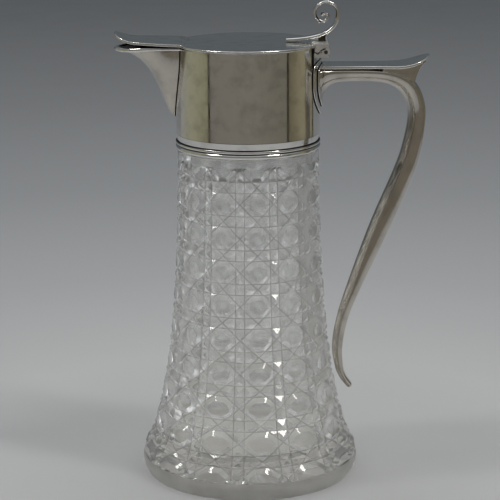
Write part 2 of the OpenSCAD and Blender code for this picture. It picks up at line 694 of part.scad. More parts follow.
// Lift of the thumb rest's underside, which thins its tip
tip_thinning = 0.4;
sweep_start = 0.7 * handle_reach + collar_r;
thumb_tip_x = collar_r + handle_reach + thumb_overhang;
function plate_rise(x) = thumb_rest_rise * pow(max(0, (x - sweep_start) / (thumb_tip_x - sweep_start)), 2);
sweep_xs = [for (i = [0 : 8]) lerp(sweep_start, thumb_tip_x, i / 8)];
module handle_top_plate() {
    profile = concat(
        [[collar_r, plate_z + film]],
        [for (x = sweep_xs) [x, plate_z + film + plate_rise(x) * (1 + tip_thinning / thumb_rest_rise)]],
        [for (x = reversed(sweep_xs)) [x, arm_z + plate_rise(x)]],
        [[collar_r, arm_z]]
    );
    end_x = thumb_tip_x - 0.4 * thumb_rest_width;
    plan = concat(
        [[0, handle_width / 2], [sweep_start - plate_spread, handle_width / 2]],
        [for (a = [90 : -10 : 0]) [
            end_x + (thumb_tip_x - end_x) * cos(a), thumb_rest_width / 2 * sin(a)
        ]]
    );
    color(silver) difference() {
        intersection() {
            side_profile(profile, 2 * thumb_rest_width);
            linear_extrude(rim_z + thumb_rest_rise)
                polygon(concat(plan, [for (p = reversed(plan)) [p[0], -p[1]]]));
        }
        cylinder(r = saddle_face_r + film, h = rim_z);
    }
}
// Wedge that closes the space between the thumb rest and the bend of the tube
web_setback = 2.5;
// Control points of its hollow end, from the thumb rest and from the tube
web_hollow = [[3.5, 2.5], [0.2, 2.5]];
module thumb_rest_web() {
    seat = [for (i = [3 * station_steps - 3 : 4 * station_steps]) outer_edge(i) + 2 * film * route_out(i)];
    top_xs = [for (i = [0 : 6]) lerp(seat[0][0] + 1, thumb_tip_x - web_setback, i / 6)];
    top = [for (x = top_xs) [x, plate_z - film + plate_rise(x)]];
    low = seat[len(seat) - 1];
    high = top[len(top) - 1];
    hollow = [for (i = [1 : 5]) bezier([high, high - web_hollow[0], low + web_hollow[1], low], i / 6)];
    color(silver) side_profile(concat(top, hollow, reversed(seat)), 0.88 * handle_width);
}

// Five knuckles along the pin: the band carries the odd ones, the lid the even ones
knuckles = 5;
knuckle_pitch = hinge_width / knuckles;
function knuckle_span(i) = [
    -hinge_width / 2 + knuckle_pitch * i + (i == 0 ? 0 : knuckle_gap / 2),
    -hinge_width / 2 + knuckle_pitch * (i + 1) - (i == knuckles - 1 ? 0 : knuckle_gap / 2)
];
pin_edge = knuckle_r - 0.75;
module knuckle_rods(first, r, gap) {
    for (i = [first : 2 : knuckles - 1]) pin_rod(r, knuckle_span(i)[0] - gap, knuckle_span(i)[1] + gap);
}
module hinge_bracket() {
    low = pin_z - bracket_depth;
    seat_z = pin_z - 0.4;
    color(silver) difference() {
        union() {
            side_profile([
                [pin_x - leaf_length, low], [pin_x + pin_edge, low], [pin_x + pin_edge, pin_z],
                [pin_x - pin_edge, pin_z], [pin_x - pin_edge, seat_z], [pin_x - leaf_length, seat_z]
            ], hinge_width);
            knuckle_rods(0, knuckle_r, 0);
        }
        cylinder(r = collar_r + film, h = rim_z);
        knuckle_rods(1, knuckle_r + swing_gap, knuckle_gap);
        pin_rod(pin_r + pin_clearance, -hinge_width, hinge_width);
    }
}
module hinge_pin() {
    color(silver) pin_rod(pin_r, -hinge_width / 2, hinge_width / 2);
}
module hinge_leaf() {
    top = lid_top + leaf_rise;
    eave = pin_z + knuckle_r + swing_gap;
    color(silver) difference() {
        union() {
            difference() {
                side_profile([
                    [pin_x - leaf_length, top], [pin_x + pin_edge, top], [pin_x + pin_edge, eave],
                    [pin_x, eave], [pin_x - knuckle_r, pin_z - 0.1], [pin_x - leaf_length + 1.4, pin_z - 0.1],
                    [pin_x - leaf_length, pin_z + 1.2]
                ], hinge_width);
                knuckle_rods(0, knuckle_r + swing_gap, knuckle_gap);
            }
            knuckle_rods(1, knuckle_r, 0);
            for (i = [1 : 2 : knuckles - 1]) let (span = knuckle_span(i))
                translate([pin_x - knuckle_r, span[0], pin_z])
                    cube([knuckle_r, span[1] - span[0], eave - pin_z + film]);
        }
        cylinder(r = collar_r + swing_gap, h = rim_z + film);
        translate([0, 0, rim_z]) cylinder(r = lid_r + film, h = lid_top + film - rim_z);
        pin_rod(pin_r + pin_clearance, -hinge_width, hinge_width);
    }
}

// The tongue stays flat over the band, steps up over the spout's wire and sweeps up at its tip
tongue_tip_x = collar_r + spout_reach - 0.4;
tongue_round = 8;
step_start = on_cylinder(collar_r, spout_width / 2) - 3.2;
step_end = step_start + 3.6;
sweep_x = tongue_tip_x - 1.5 * tongue_round;
function tongue_lift(x) =
    tongue_rise * (x < step_start ? 0 : x > step_end ? 1 : (1 - cos(180 * (x - step_start) / (step_end - step_start))) / 2)
    + tongue_sweep * pow(max(0, (x - sweep_x) / (tongue_tip_x - sweep_x)), 2);
module lid_plate() {
    xs = concat(
        [-lid_r - past],
        [for (i = [0 : 6]) lerp(step_start, step_end, i / 6)],
        [for (i = [0 : 8]) lerp(sweep_x, tongue_tip_x + past, i / 8)]
    );
    profile = concat(
        [for (x = xs) [-x, lid_z + tongue_lift(x)]],
        [for (x = reversed(xs)) [-x, lid_top + tongue_lift(x)]]
    );
    half = concat(
        [[-step_start + past, tongue_width / 2]],
        [for (a = [90 : -9 : 0]) [
            -tongue_tip_x + tongue_round - tongue_round * cos(a), tongue_end_width / 2 * sin(a)
        ]]
    );
    color(silver) intersection() {
        side_profile(profile, 3 * lid_r);
        union() {
            cylinder(r = lid_r, h = lid_top + past + tongue_rise);
            linear_extrude(lid_top + 3 * tongue_sweep)
                polygon(concat(half, [for (p = reversed(half)) [p[0], -p[1]]]));
        }
    }
}
module lid_bezel() {
    outer_r = bore_r - bezel_gap;
    color(silver) difference() {
        tube_ring(outer_r - bezel_wall, outer_r, lid_z - bezel_depth, bezel_depth - film);
        // Open towards the spout, where the tongue steps up
        translate([-lid_r - step_start + 3, -lid_r, 0]) cube([lid_r, 2 * lid_r, rim_z]);
    }
}

// The strap leaves the lid in one long curve that turns straight up. It keeps its radius for half a
// turn, then rolls inwards: radius and centre go over to those of the small turn in the eye.
scroll_centre = [pin_x + 0.75, lid_top + scroll_height];
eye_centre = scroll_centre - [0.45, 1.4];
strap_curve = [
    [pin_x - strap_length, lid_top + strap_thickness / 2 + film],
    [pin_x - 4, lid_top + strap_thickness / 2 + 0.7],
    [scroll_centre[0] + scroll_radius, lid_top + 4.4],
    scroll_centre + [scroll_radius, 0]
];
scroll_turn = 500;
roll_start = 165;
roll_end = 320;
function smooth(t) = t * t * (3 - 2 * t);
function roll(a) = smooth(min(1, max(0, (a - roll_start) / (roll_end - roll_start))));
function scroll_point(a, rise = 0) =
    lerp(scroll_centre, eye_centre, roll(a))
    + (lerp(scroll_radius, scroll_eye, roll(a)) + rise) * [cos(a), sin(a)];
strap_steps = 12;
scroll_steps = 32;
strap_path = concat(
    [for (i = [0 : strap_steps - 1]) bezier(strap_curve, i / strap_steps)],
    [for (i = [0 : scroll_steps]) scroll_point(scroll_turn * i / scroll_steps)]
);
// Half the strap's thickness, which falls evenly from the lid to the eye
function strap_half(i) = lerp(strap_thickness, 0.6 * strap_thickness, i / (strap_steps + scroll_steps)) / 2;
// Place of the small bud on the outside of the scroll
bud_turn = 228;
module thumb_scroll() {
    last = len(strap_path) - 1;
    rings = [for (i = [0 : last])
        let (
            share = i / last,
            thick = strap_half(i),
            wide = lerp(strap_width, 0.7 * strap_width, share) / 2,
            bevel = 0.5 * thick,
            d = unit(strap_path[min(i + 1, last)] - strap_path[max(i - 1, 0)])
        )
        [for (c = [
                [-wide, -bevel], [-wide + bevel, -thick], [wide - bevel, -thick], [wide, -bevel],
                [wide, bevel], [wide - bevel, thick], [-wide + bevel, thick], [-wide, bevel]
            ])
            [strap_path[i][0] - d[1] * c[1], c[0], strap_path[i][1] + d[0] * c[1]]]
    ];
    eye = strap_path[last];
    bud = scroll_point(bud_turn, 0.5 * strap_thickness);
    color(silver) {
        skin(rings);
        translate([eye[0], 0, eye[1]]) sphere(d = scroll_ball_d, $fn = 24);
        translate([bud[0], 0, bud[1]]) sphere(d = 0.6 * scroll_ball_d, $fn = 24);
    }
}
// Block under the strap, on the hinge leaf
module thumb_riser() {
    base = lid_top + leaf_rise + film;
    under = [for (i = [0 : 4])
        let (
            t = lerp(0.4, 0.52, i / 4),
            d = unit(bezier(strap_curve, t + 0.01) - bezier(strap_curve, t - 0.01)),
            thick = strap_half(strap_steps * t)
        )
        bezier(strap_curve, t) - (thick + film) * [-d[1], d[0]]];
    color(silver) side_profile(
        concat([[under[0][0], base], [under[4][0], base]], reversed(under)),
        strap_width - 1
    );
}

glass_body();
mount_plaster();
lip_ring();
lower_reed();
upper_reed();
collar_skirt();
collar_band();
spout_shell();
spout_rim_wire();
saddle_lower();
saddle_upper();
handle_tube();
handle_top_plate();
thumb_rest_web();
hinge_bracket();
hinge_pin();
lid_plate();
lid_bezel();
hinge_leaf();
thumb_riser();
thumb_scroll();
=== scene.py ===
# %% [markdown]
# # A claret jug in cut crystal and silver
#
# The jug has a blown and cut glass body, a silver collar with a spout, a flat hinged lid with a scroll
# to lift it by, and a hollow silver handle with a free lower end. The construction comes from the
# imported model. This lesson gives each piece its visible surface and finish, worked out with numpy in
# the same place, and lights it plainly.
#
# The first cell loads the model and puts its parts in world space.

# %% Load the imported model
import math

import bmesh
import bpy
import numpy as np
from mathutils import Matrix, Vector


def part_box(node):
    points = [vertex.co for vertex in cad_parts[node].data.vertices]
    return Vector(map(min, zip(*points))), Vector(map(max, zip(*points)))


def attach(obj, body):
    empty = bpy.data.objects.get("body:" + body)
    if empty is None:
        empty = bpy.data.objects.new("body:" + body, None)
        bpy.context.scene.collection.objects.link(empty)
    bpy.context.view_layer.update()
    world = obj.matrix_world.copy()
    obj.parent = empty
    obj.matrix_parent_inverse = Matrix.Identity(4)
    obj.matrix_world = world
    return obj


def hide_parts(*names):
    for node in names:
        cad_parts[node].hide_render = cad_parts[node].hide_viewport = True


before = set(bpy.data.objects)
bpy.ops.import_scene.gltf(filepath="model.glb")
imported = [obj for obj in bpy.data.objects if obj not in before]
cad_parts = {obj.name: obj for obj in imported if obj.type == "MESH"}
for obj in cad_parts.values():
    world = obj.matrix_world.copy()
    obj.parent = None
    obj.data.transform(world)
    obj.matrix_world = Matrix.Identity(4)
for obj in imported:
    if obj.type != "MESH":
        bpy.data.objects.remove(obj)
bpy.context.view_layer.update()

MM = 0.001

# %% [markdown]
# ## The camera
#
# A lens about three times as long as a normal one keeps the jug's sides nearly parallel. The camera
# stands a metre in front, a little above the lid, and looks down, which shows the lid's top as a narrow
# ellipse. The small roll and shift put the jug where the photograph has it. The place is set as one
# matrix, because a turn about the camera's own axis is hard to write as three angles.

# %% Camera
scene = bpy.context.scene
scene.view_settings.view_transform = "Standard"

camera_height = 377 * MM
camera_distance = 1000 * MM
look_down = 14.09
roll = -0.37
sensor = 36.0
focal_share = 1850 / 500
sideways_shift = 0.0026

camera_data = bpy.data.cameras.new("camera")
camera_data.sensor_width = sensor
camera_data.lens = sensor * focal_share
camera_data.shift_x = sideways_shift
camera_data.clip_start = 50 * MM
camera = bpy.data.objects.new("camera", camera_data)
scene.collection.objects.link(camera)
camera.matrix_world = (
    Matrix.Translation((0, -camera_distance, camera_height))
    @ Matrix.Rotation(math.radians(90 - look_down), 4, "X")
    @ Matrix.Rotation(math.radians(roll), 4, "Z")
)
scene.camera = camera
print("lens", round(camera_data.lens, 1), "mm")

# %% [markdown]
# ## Sums on sockets
#
# A shader is a graph of nodes, and a formula such as 1 - mask * 0.3 takes two of them. This class wraps
# one socket, so that such a formula can be written as Python. Every operator adds one Math node, and has a
# reflected form for a number on its left. Any other node comes from the method `make`, which takes the
# node's type, its settings and what its sockets hold, so there is no second way to learn.

# %% A socket that can be used in sums


class Wire:
    """A socket of one shader tree. Operators add Math nodes, and make() adds any other node."""

    def __init__(self, tree, socket=None):
        self.tree = tree
        self.socket = socket

    def make(self, kind, settings=None, inputs=None, output=0):
        node = self.tree.nodes.new(kind)
        for name, value in (settings or {}).items():
            if name == "stops":
                fill_ramp(node.color_ramp, value)
            else:
                setattr(node, name, value)
        for name, value in (inputs or {}).items():
            if isinstance(value, Wire):
                self.tree.links.new(value.socket, node.inputs[name])
            else:
                node.inputs[name].default_value = value
        return Wire(self.tree, node.outputs[output])

    def other(self, output):
        """Another output of the same node."""
        return Wire(self.tree, self.socket.node.outputs[output])

    def math(self, operation, a, b):
        return self.make("ShaderNodeMath", {"operation": operation}, {0: a, 1: b})

    def __add__(self, other):
        return self.math("ADD", self, other)

    def __radd__(self, other):
        return self.math("ADD", other, self)

    def __sub__(self, other):
        return self.math("SUBTRACT", self, other)

    def __rsub__(self, other):
        return self.math("SUBTRACT", other, self)

    def __mul__(self, other):
        return self.math("MULTIPLY", self, other)

    def __rmul__(self, other):
        return self.math("MULTIPLY", other, self)

    def __truediv__(self, other):
        return self.math("DIVIDE", self, other)

    def __rtruediv__(self, other):
        return self.math("DIVIDE", other, self)

    def __pow__(self, other):
        return self.math("POWER", self, other)

    def __rpow__(self, other):
        return self.math("POWER", other, self)

    def __gt__(self, other):
        return self.math("GREATER_THAN", self, other)

    def __lt__(self, other):
        return self.math("LESS_THAN", self, other)

    def either(self, other):
        return self.math("MAXIMUM", self, other)

    def size(self):
        return self.math("ABSOLUTE", self, 0)

    def rise(self, low, high):
        """0 below low and 1 above high, with a smooth way between."""
        return self.make(
            "ShaderNodeMapRange", {"interpolation_type": "SMOOTHSTEP"}, {0: self, 1: low, 2: high}
        )

    def mix(self, low, high):
        """The colour low where this is 0, and high where it is 1."""
        return self.make(
            "ShaderNodeMix", {"data_type": "RGBA"}, {0: self, 6: low, 7: high}, output=2
        )

    def ramp(self, stops):
        return self.make("ShaderNodeValToRGB", {"stops": stops}, {0: self})

    def axes(self):
        """The three coordinates of a place or direction."""
        x = self.make("ShaderNodeSeparateXYZ", inputs={0: self}, output="X")
        return x, x.other("Y"), x.other("Z")


# %% [markdown]
# A few helpers save repeating: the stops of a colour ramp, a colour's light from its steps on a screen, a new
# node tree and its output, noise with a size in millimetres, and a bump. Every material starts from the
# place in the object's own coordinates, so its marks turn with the piece.

# %% Helpers for materials


def fill_ramp(ramp, stops):
    while len(ramp.elements) < len(stops):
        ramp.elements.new(1)
    for element, (place, colour) in zip(ramp.elements, stops):
        element.position = place
        element.color = colour


def rgb(red, green, blue):
    """The light of a screen colour given in steps of 255, as four numbers."""
    share = np.array([red, green, blue]) / 255
    light = np.where(share <= 0.04045, share / 12.92, ((share + 0.055) / 1.055) ** 2.4)
    return (*light.tolist(), 1.0)


def new_material(name):
    """An empty material, and the place in the object's own coordinates, where its tree starts."""
    material = bpy.data.materials.new(name)
    material.use_nodes = True
    material.node_tree.nodes.clear()
    return material, Wire(material.node_tree).make("ShaderNodeTexCoord", output="Object")


def finish_with(shader, output="ShaderNodeOutputMaterial"):
    node = shader.tree.nodes.new(output)
    shader.tree.links.new(shader.socket, node.inputs["Surface"])


def noise(place, size, detail=2.0, stretch=(1, 1, 1)):
    """Noise with features of about this size in millimetres, stretched along the axes."""
    scale = tuple(1 / (size * MM * s) for s in stretch)
    scaled = place.make("ShaderNodeMapping", inputs={"Vector": place, "Scale": scale})
    return place.make("ShaderNodeTexNoise", inputs={"Vector": scaled, "Scale": 1.0, "Detail": detail})


def bump(height, unit=MM):
    """The normal, bent by a height that is given in this unit."""
    return height.make("ShaderNodeBump", inputs={"Height": height, "Distance": unit, "Strength": 1.0})


# %% [markdown]
# ## The room
#
# Polished silver has no colour of its own to show: it looks like what stands round it. So the room is
# built for its reflections. An image of a real room would do it too, but a few ramps are plainer and can be
# read. The floor is pale near the jug and falls off into a blue-grey distance, and the world above the
# horizon goes on from that grey. The world's light for matt surfaces is a plain level, apart from what is
# seen in it: Light Path tells camera and glossy rays, which see the grey, from the diffuse rays, which only
# gather light.
#
# Glass turns rays aside in all directions, and what a facet shows may lie far overhead, so the refracted
# rays see a paler sky, as in a room with a white ceiling. Soft noise adds bright and dark patches to it, in
# the place of windows and furniture, or no facet would differ from the next. They are strongest to the left
# and right, where the facets near the outline look.

# %% World
near_floor = rgb(166, 168, 169)
far_grey = rgb(96, 102, 105)
low_sky = rgb(84, 90, 94)
fill_level = 0.54

world = bpy.data.worlds.new("room")
scene.world = world
world.use_nodes = True
world.node_tree.nodes.clear()
direction = Wire(world.node_tree).make("ShaderNodeTexCoord", output="Generated")
sideways, _, height = direction.axes()
sky = height.ramp([
    (0.0, low_sky), (0.32, rgb(88, 94, 98)), (0.6, rgb(140, 143, 146)), (1.0, rgb(176, 178, 180)),
])
ceiling = height.ramp([
    (0.0, rgb(60, 64, 66)), (0.07, rgb(118, 122, 124)), (0.16, rgb(176, 178, 179)), (1.0, rgb(209, 211, 213)),
])
aside = sideways.size().rise(0.2, 0.65)
window_size, furniture_size = 320, 210
windows = noise(direction, window_size, 2).rise(0.52, 0.6) * (aside * 0.3 + 0.68)
furniture = (1 - noise(direction, furniture_size, 3)).rise(0.55, 0.62) * (aside * 0.35 + 0.6)
window_light = aside.mix(rgb(246, 247, 250), (3.0, 3.05, 3.1, 1.0))
through_glass = furniture.mix(windows.mix(ceiling, window_light), rgb(40, 40, 38))
rays = direction.make("ShaderNodeLightPath", output="Is Camera Ray")
glossy, refracted = rays.other("Is Glossy Ray"), rays.other("Is Transmission Ray")
plain_level = (fill_level,) * 3 + (1.0,)
shown = refracted.mix(rays.either(glossy).mix(plain_level, sky), through_glass)
finish_with(direction.make("ShaderNodeBackground", inputs={"Color": shown}), "ShaderNodeOutputWorld")
print("world nodes", len(world.node_tree.nodes))

# %% [markdown]
# ## Grids of points
#
# Nearly every surface here is a grid of points, worked out as a whole array, whose faces join neighbours.
# Most grids go round something, so the points of circles round the upright axis get a helper of their own,
# and so do the angles of a whole and of a quarter turn.

# %% Grids


def grid_faces(rows, columns, close_rows, close_columns):
    """Corner numbers of the squares between neighbouring points of a grid."""
    row, column = np.meshgrid(
        np.arange(rows - (not close_rows)), np.arange(columns - (not close_columns)), indexing="ij"
    )
    row, below = row * columns, (row + 1) % rows * columns
    beside = (column + 1) % columns
    return np.stack([row + column, row + beside, below + beside, below + column], -1).reshape(-1, 4)


def grid_of(points, close_rows=False, close_columns=True):
    """A grid of points with its faces. Most grids go round and close on themselves."""
    return points, grid_faces(*points.shape[:2], close_rows, close_columns).tolist()


def link_mesh(name, points, faces):
    mesh = bpy.data.meshes.new(name)
    mesh.from_pydata(np.reshape(points, (-1, 3)), [], faces)
    piece = bpy.data.objects.new(name, mesh)
    scene.collection.objects.link(piece)
    return piece


def whole_turn(steps):
    """Angles in equal steps, once round."""
    return np.linspace(0, 2 * np.pi, steps, endpoint=False)


def quarter_turn(steps):
    return np.radians(np.linspace(0, 90, steps))


def round_axis(r, z, angle):
    """Points (r cos a, r sin a, z) round the upright axis."""
    return np.stack(np.broadcast_arrays(r * np.cos(angle), r * np.sin(angle), z), -1)


# %% [markdown]
# ## The floor
#
# The floor is one disc, a grid in rings and spokes, with the rings closest near the jug. Its colour depends
# only on the distance from the jug, so that it looks alike from every side: pale near the jug and darker
# further out, a painted pool of light that stands for the lamps' falloff. A little unevenness keeps it from
# looking like paper.

# %% Floor
floor_r = 9
floor_rings = np.concatenate([[0.0001], np.geomspace(0.02, floor_r, 24)])
floor = link_mesh("floor", *grid_of(round_axis(floor_rings[:, None], 0, whole_turn(64))))

material, place = new_material("floor with painted falloff")
distance = place.make("ShaderNodeVectorMath", {"operation": "LENGTH"}, {0: place}, output="Value")
# Painted falloff: the colour darkens with the distance from the jug, as the lamps' light would.
painted_falloff = (distance / (floor_r / 3)).ramp([
    (0.0, near_floor), (0.07, rgb(174, 176, 177)), (0.14, rgb(158, 160, 163)), (0.25, rgb(141, 144, 147)),
    (0.42, rgb(127, 130, 133)), (0.7, rgb(110, 114, 117)), (1.0, far_grey),
])
uneven = noise(place, 60, 4)
finish_with(place.make("ShaderNodeBsdfPrincipled", inputs={
    "Base Color": (uneven * 0.12).mix(painted_falloff, rgb(150, 150, 150)),
    "Roughness": 0.75,
    "Specular IOR Level": 0.1,
}))
floor.data.materials.append(material)
print("floor", len(floor.data.polygons), "faces")

# %% [markdown]
# ## The lamps
#
# Two tall soft lamps shine down from the left and the right, a little in front of the jug, and a wide one
# hangs above and behind it. A lamp's light falls off with distance, so its power is worked out backwards,
# from how bright it makes a white card at the jug that faces it. The three shares and the world's own level
# add up to 1.2, because no card faces all of them. Refracted rays don't see the lamps, which would sprinkle
# the glass with white specks that come and go.

# %% Lamps


def soft_lamp(name, place, width, height, share, colour, target=(0, 0, 0.14)):
    """An area lamp that alone gives a white card at the target the brightness share."""
    data = bpy.data.lights.new(name, "AREA")
    data.shape = "RECTANGLE"
    data.size, data.size_y = width, height
    data.color = colour
    away = Vector(place) - Vector(target)
    data.energy = share * math.pi**2 * away.length_squared
    lamp = bpy.data.objects.new(name, data)
    scene.collection.objects.link(lamp)
    lamp.matrix_world = Matrix.Translation(place) @ away.to_track_quat("Z", "Y").to_matrix().to_4x4()
    lamp.visible_transmission = False


soft_lamp("left lamp", (-0.89, -0.2, 1.46), 0.15, 0.7, 0.22, (1.0, 0.98, 0.94))
soft_lamp("right lamp", (0.67, -0.4, 1.5), 0.16, 0.7, 0.3, (1.0, 0.97, 0.92))
soft_lamp("top lamp", (0, 0.35, 1.7), 1.3, 0.9, 0.14, (0.94, 0.97, 1.0))

# %% [markdown]
# ## What the collar mirrors
#
# The collar is a mirror bent round the jug: from the front, it shows everything from the left edge of
# the room round to the right. What it shows is a curved screen of card, open at the back, that stands on
# the floor. The camera doesn't see the screen and it gives no light, so it only dresses the reflections:
# warm grey in front, a dark seam on either side, and olive card beyond the seams, where the right-hand card
# ends in a seam of its own. Its angles are given from the front, which lies a quarter turn before the x axis.

# %% Screen for the reflections
screen_radius = 620 * MM
screen_height = 420 * MM
screen_left, screen_right = -131, 127
seam_angles = (-62, 64.5, 123)
seam_half = 1.6
front = -90

screen_angle = np.radians(front + np.linspace(screen_left, screen_right, 97))
screen_z = np.linspace(MM, screen_height, 3)[:, None]
screen_points = round_axis(screen_radius, screen_z, screen_angle)
screen = link_mesh("reflection screen", *grid_of(screen_points, close_columns=False))
screen.visible_camera = False
screen.visible_diffuse = False
screen.visible_shadow = False
screen.visible_transmission = False
print("screen", screen_right - screen_left, "degrees round")

# %% [markdown]
# The card's colour is a ramp of the angle from the front. Each seam is dark where the angle is within half
# its width of the seam's own.

# %% Card of the screen
material, place = new_material("screen card")
x, y, _ = place.axes()
angle = place.math("ARCTAN2", x, y * -1) * (180 / math.pi)


def around(degrees):
    """Place on the screen's ramp of an angle from the front."""
    return (degrees + 180) / 360


card = ((angle + 180) / 360).ramp([
    (around(-128), rgb(136, 135, 130)), (around(-100), rgb(138, 137, 118)), (around(-63), rgb(126, 123, 102)),
    (around(-60), rgb(112, 108, 102)), (around(0), rgb(116, 112, 104)), (around(62), rgb(104, 101, 92)),
    (around(66), rgb(96, 90, 74)), (around(90), rgb(124, 119, 98)), (around(124), rgb(122, 118, 102)),
])
left_seam, right_seam, end_seam = ((angle - at).size() < seam_half for at in seam_angles)
screen_colour = left_seam.either(right_seam).either(end_seam).mix(card, rgb(26, 24, 20))
finish_with(place.make("ShaderNodeEmission", inputs={"Color": screen_colour}))
screen.data.materials.append(material)
print("screen", len(screen.data.polygons), "faces, seams at", seam_angles)

# %% [markdown]
# ## Silver
#
# Old table silver is bright but never perfect. Years of hand polishing leave fine wiping marks that make
# it a little rough, raising and planishing leave a slow waviness that bends straight reflections, and a
# few small dents and a trace of warm tarnish remain. So the base colour and roughness vary with noise,
# and one bump adds the waviness, the wiping marks, scratches and dents, each at its real size.
#
# Where a cloth doesn't reach, in grooves and behind plates, silver turns black, and the same places lie in
# shade. So the black here is partly oxide and partly painted shade, which it is in the reeds' grooves, under
# the spout's wire, at the foot of the shields and beside the hinge. The Geometry node's pointiness could find
# such places, but it depends on how fine the mesh is and misses the joint between two pieces. So a function
# of the place says where the black lies, and each piece brings its own.

# %% Silver material
silver_colour = (0.87, 0.855, 0.82, 1.0)
# A darker, warmer copy of the silver for the spout and the handle: a little wear, and painted shade that dims
# what they mirror.
worn_and_shaded_colour = (0.63, 0.59, 0.525, 1.0)
# Dark tarnish for unpolished insides, also used as painted shade on the thumb riser.
tarnish_and_shade_colour = (0.06, 0.052, 0.042, 1.0)
oxide_and_shade_colour = (0.012, 0.01, 0.008, 1.0)
wave_size, blotch_size, wipe_size, scratch_size = 17, 9, 0.9, 0.5
dents_per_metre = 62


def near(value, middle, half):
    """1 where the value lies within half of the middle, both in millimetres, with a soft edge."""
    return 1 - (value - middle * MM).size().rise(0.6 * half * MM, half * MM)


def from_axis(x, y):
    """Distance from an axis that stands square to x and y."""
    return (x * x + y * y) ** 0.5


def darker(colour, share):
    """A share of the colour's light."""
    return [share * light for light in colour[:3]] + [1.0]


def make_silver(name, wave_depth, wipe_direction, roughness=0.07, black_at=None, colour=silver_colour):
    """Silver with waves of a depth in millimetres, wiping marks stretched along one axis, and black
    where a function of the place says so: oxide, a dark joint or painted shade, as each piece has it. The
    bump's height is the sum of all marks in millimetres, with dents and scratches taken off."""
    material, place = new_material(name)
    waves = noise(place, wave_size, 1)
    wiping = noise(place, wipe_size, 5, wipe_direction)
    blotches = noise(place, blotch_size, 5)
    scratches = noise(place, scratch_size, 2, (1, 14, 30)).rise(0.66, 0.72)
    dents = place.make("ShaderNodeTexVoronoi", inputs={"Vector": place, "Scale": dents_per_metre})
    picked = place.make("ShaderNodeTexWhiteNoise", inputs={"Vector": dents.other("Position")}) > 0.8
    dent = (1 - dents.rise(0.02, 0.075)) * picked
    height = waves * wave_depth + wiping * 0.0014 + blotches * 0.005 - dent * 0.05 - scratches * 0.002
    warm = blotches.rise(0.42, 0.74) * 0.7 + dent * 0.4 + scratches * 0.25
    base = warm.mix(colour, darker(colour, 0.68))
    rough = roughness + wiping.rise(0.35, 0.75) * 0.06 + blotches.rise(0.4, 0.8) * 0.07 + dent * 0.1
    if black_at:
        # The black is oxide on some pieces and painted shade on others.
        black = black_at(*place.axes())
        base, rough = black.mix(base, oxide_and_shade_colour), rough + black * 0.4
    finish_with(place.make("ShaderNodeBsdfPrincipled", inputs={
        "Base Color": base, "Metallic": 1.0, "Roughness": rough, "Normal": bump(height),
    }))
    return material


silver = make_silver("polished silver", 0.035, (1, 1, 9))
silver_flat = make_silver("silver of the lid", 0.02, (9, 1, 1), 0.1)
silver_handle = make_silver("silver of the handle", 0.05, (1, 5, 1), 0.09, colour=worn_and_shaded_colour)
tarnished_and_shaded_silver = make_silver("tarnished and shaded silver", 0.03, (1, 1, 5), 0.3, colour=tarnish_and_shade_colour)
print("silver nodes", len(silver.node_tree.nodes))

# %% [markdown]
# The hinge's pin is black all over. Its oxide is a crust and no metal any more, so it has a finish of its
# own.

# %% Oxide material
black_oxide, place = new_material("black oxide")
crust = noise(place, 1, 3)
finish_with(place.make("ShaderNodeBsdfPrincipled", inputs={
    "Base Color": crust.mix(oxide_and_shade_colour, (0.04, 0.034, 0.026, 1.0)), "Roughness": 0.4 + crust * 0.3,
}))
print("oxide nodes", len(black_oxide.node_tree.nodes))

# %% [markdown]
# ## Crystal
#
# Lead crystal bends light more than window glass, so its index of refraction is 1.54. Real glass lets
# lamps shine through it onto the table, which a path tracer finds only slowly. Light Path helps again: for
# shadow rays most of the surface is plain transparent, so the floor under and behind the jug stays pale,
# with a soft shadow. The polish is good but not perfect, which a faint bump and thin smears show.
#
# The inside of an old jug is never as clear as its cut outside. Wine and water leave a haze on it, and the
# foot is dull from standing, as the bottom of the inside is from lees. So those faces get a rougher, slightly
# whitish finish. It blurs the far side of the pattern, and the near side then reads clearly. The wheel leaves
# its cuts less clear than the blank too. Along the bottom of each mitre the colour turns dark: that is
# painted shade in the crease. How deep a place lies in a cut comes from an attribute of the mesh: 0 on the
# blank, 1 at the bottom of a full mitre.

# %% Crystal materials
refraction = 1.54
cut_colour = (0.64, 0.65, 0.64, 1.0)
# The dark colour along the bottoms of the mitres is painted shade in the crease.
crease_shade_colour = (0.2, 0.19, 0.17, 1.0)
cut_dullness, crease_shade_share = 0.2, 0.28
shadow_pass = 0.9


def make_crystal(name, roughness, haze, colour, grain_depth):
    """Glass with a share haze of solid body colour, whose cuts turn dull, with painted shade along their
    bottoms.
    """
    material, place = new_material(name)
    smear = noise(place, 14, 4)
    grain = noise(place, 4, 2)
    clearer = [0.48 * light + 0.5 for light in colour[:3]] + [1.0]
    shader = place.make("ShaderNodeBsdfPrincipled", inputs={
        "Base Color": smear.mix(colour, clearer),
        "Roughness": roughness + smear.rise(0.45, 0.8) * 0.03,
        "IOR": refraction,
        "Transmission Weight": 1.0 - haze,
        "Normal": bump(grain * grain_depth + smear * 0.01),
    })
    depth = place.make("ShaderNodeAttribute", {"attribute_name": "cut_depth"}, output="Fac")
    # Painted shade along the bottom of each mitre.
    crease_shade = depth.rise(0.84, 0.97)
    dull = place.make("ShaderNodeBsdfPrincipled", inputs={
        "Base Color": crease_shade.mix(cut_colour, crease_shade_colour), "Roughness": 0.5,
    })
    cut = place.make("ShaderNodeMixShader", inputs={
        0: depth.rise(0.02, 0.2) * cut_dullness + crease_shade * crease_shade_share, 1: shader, 2: dull,
    })
    passing = place.make("ShaderNodeLightPath", output="Is Shadow Ray") * shadow_pass
    clear = place.make("ShaderNodeBsdfTransparent")
    finish_with(place.make("ShaderNodeMixShader", inputs={0: passing, 1: cut, 2: clear}))
    return material


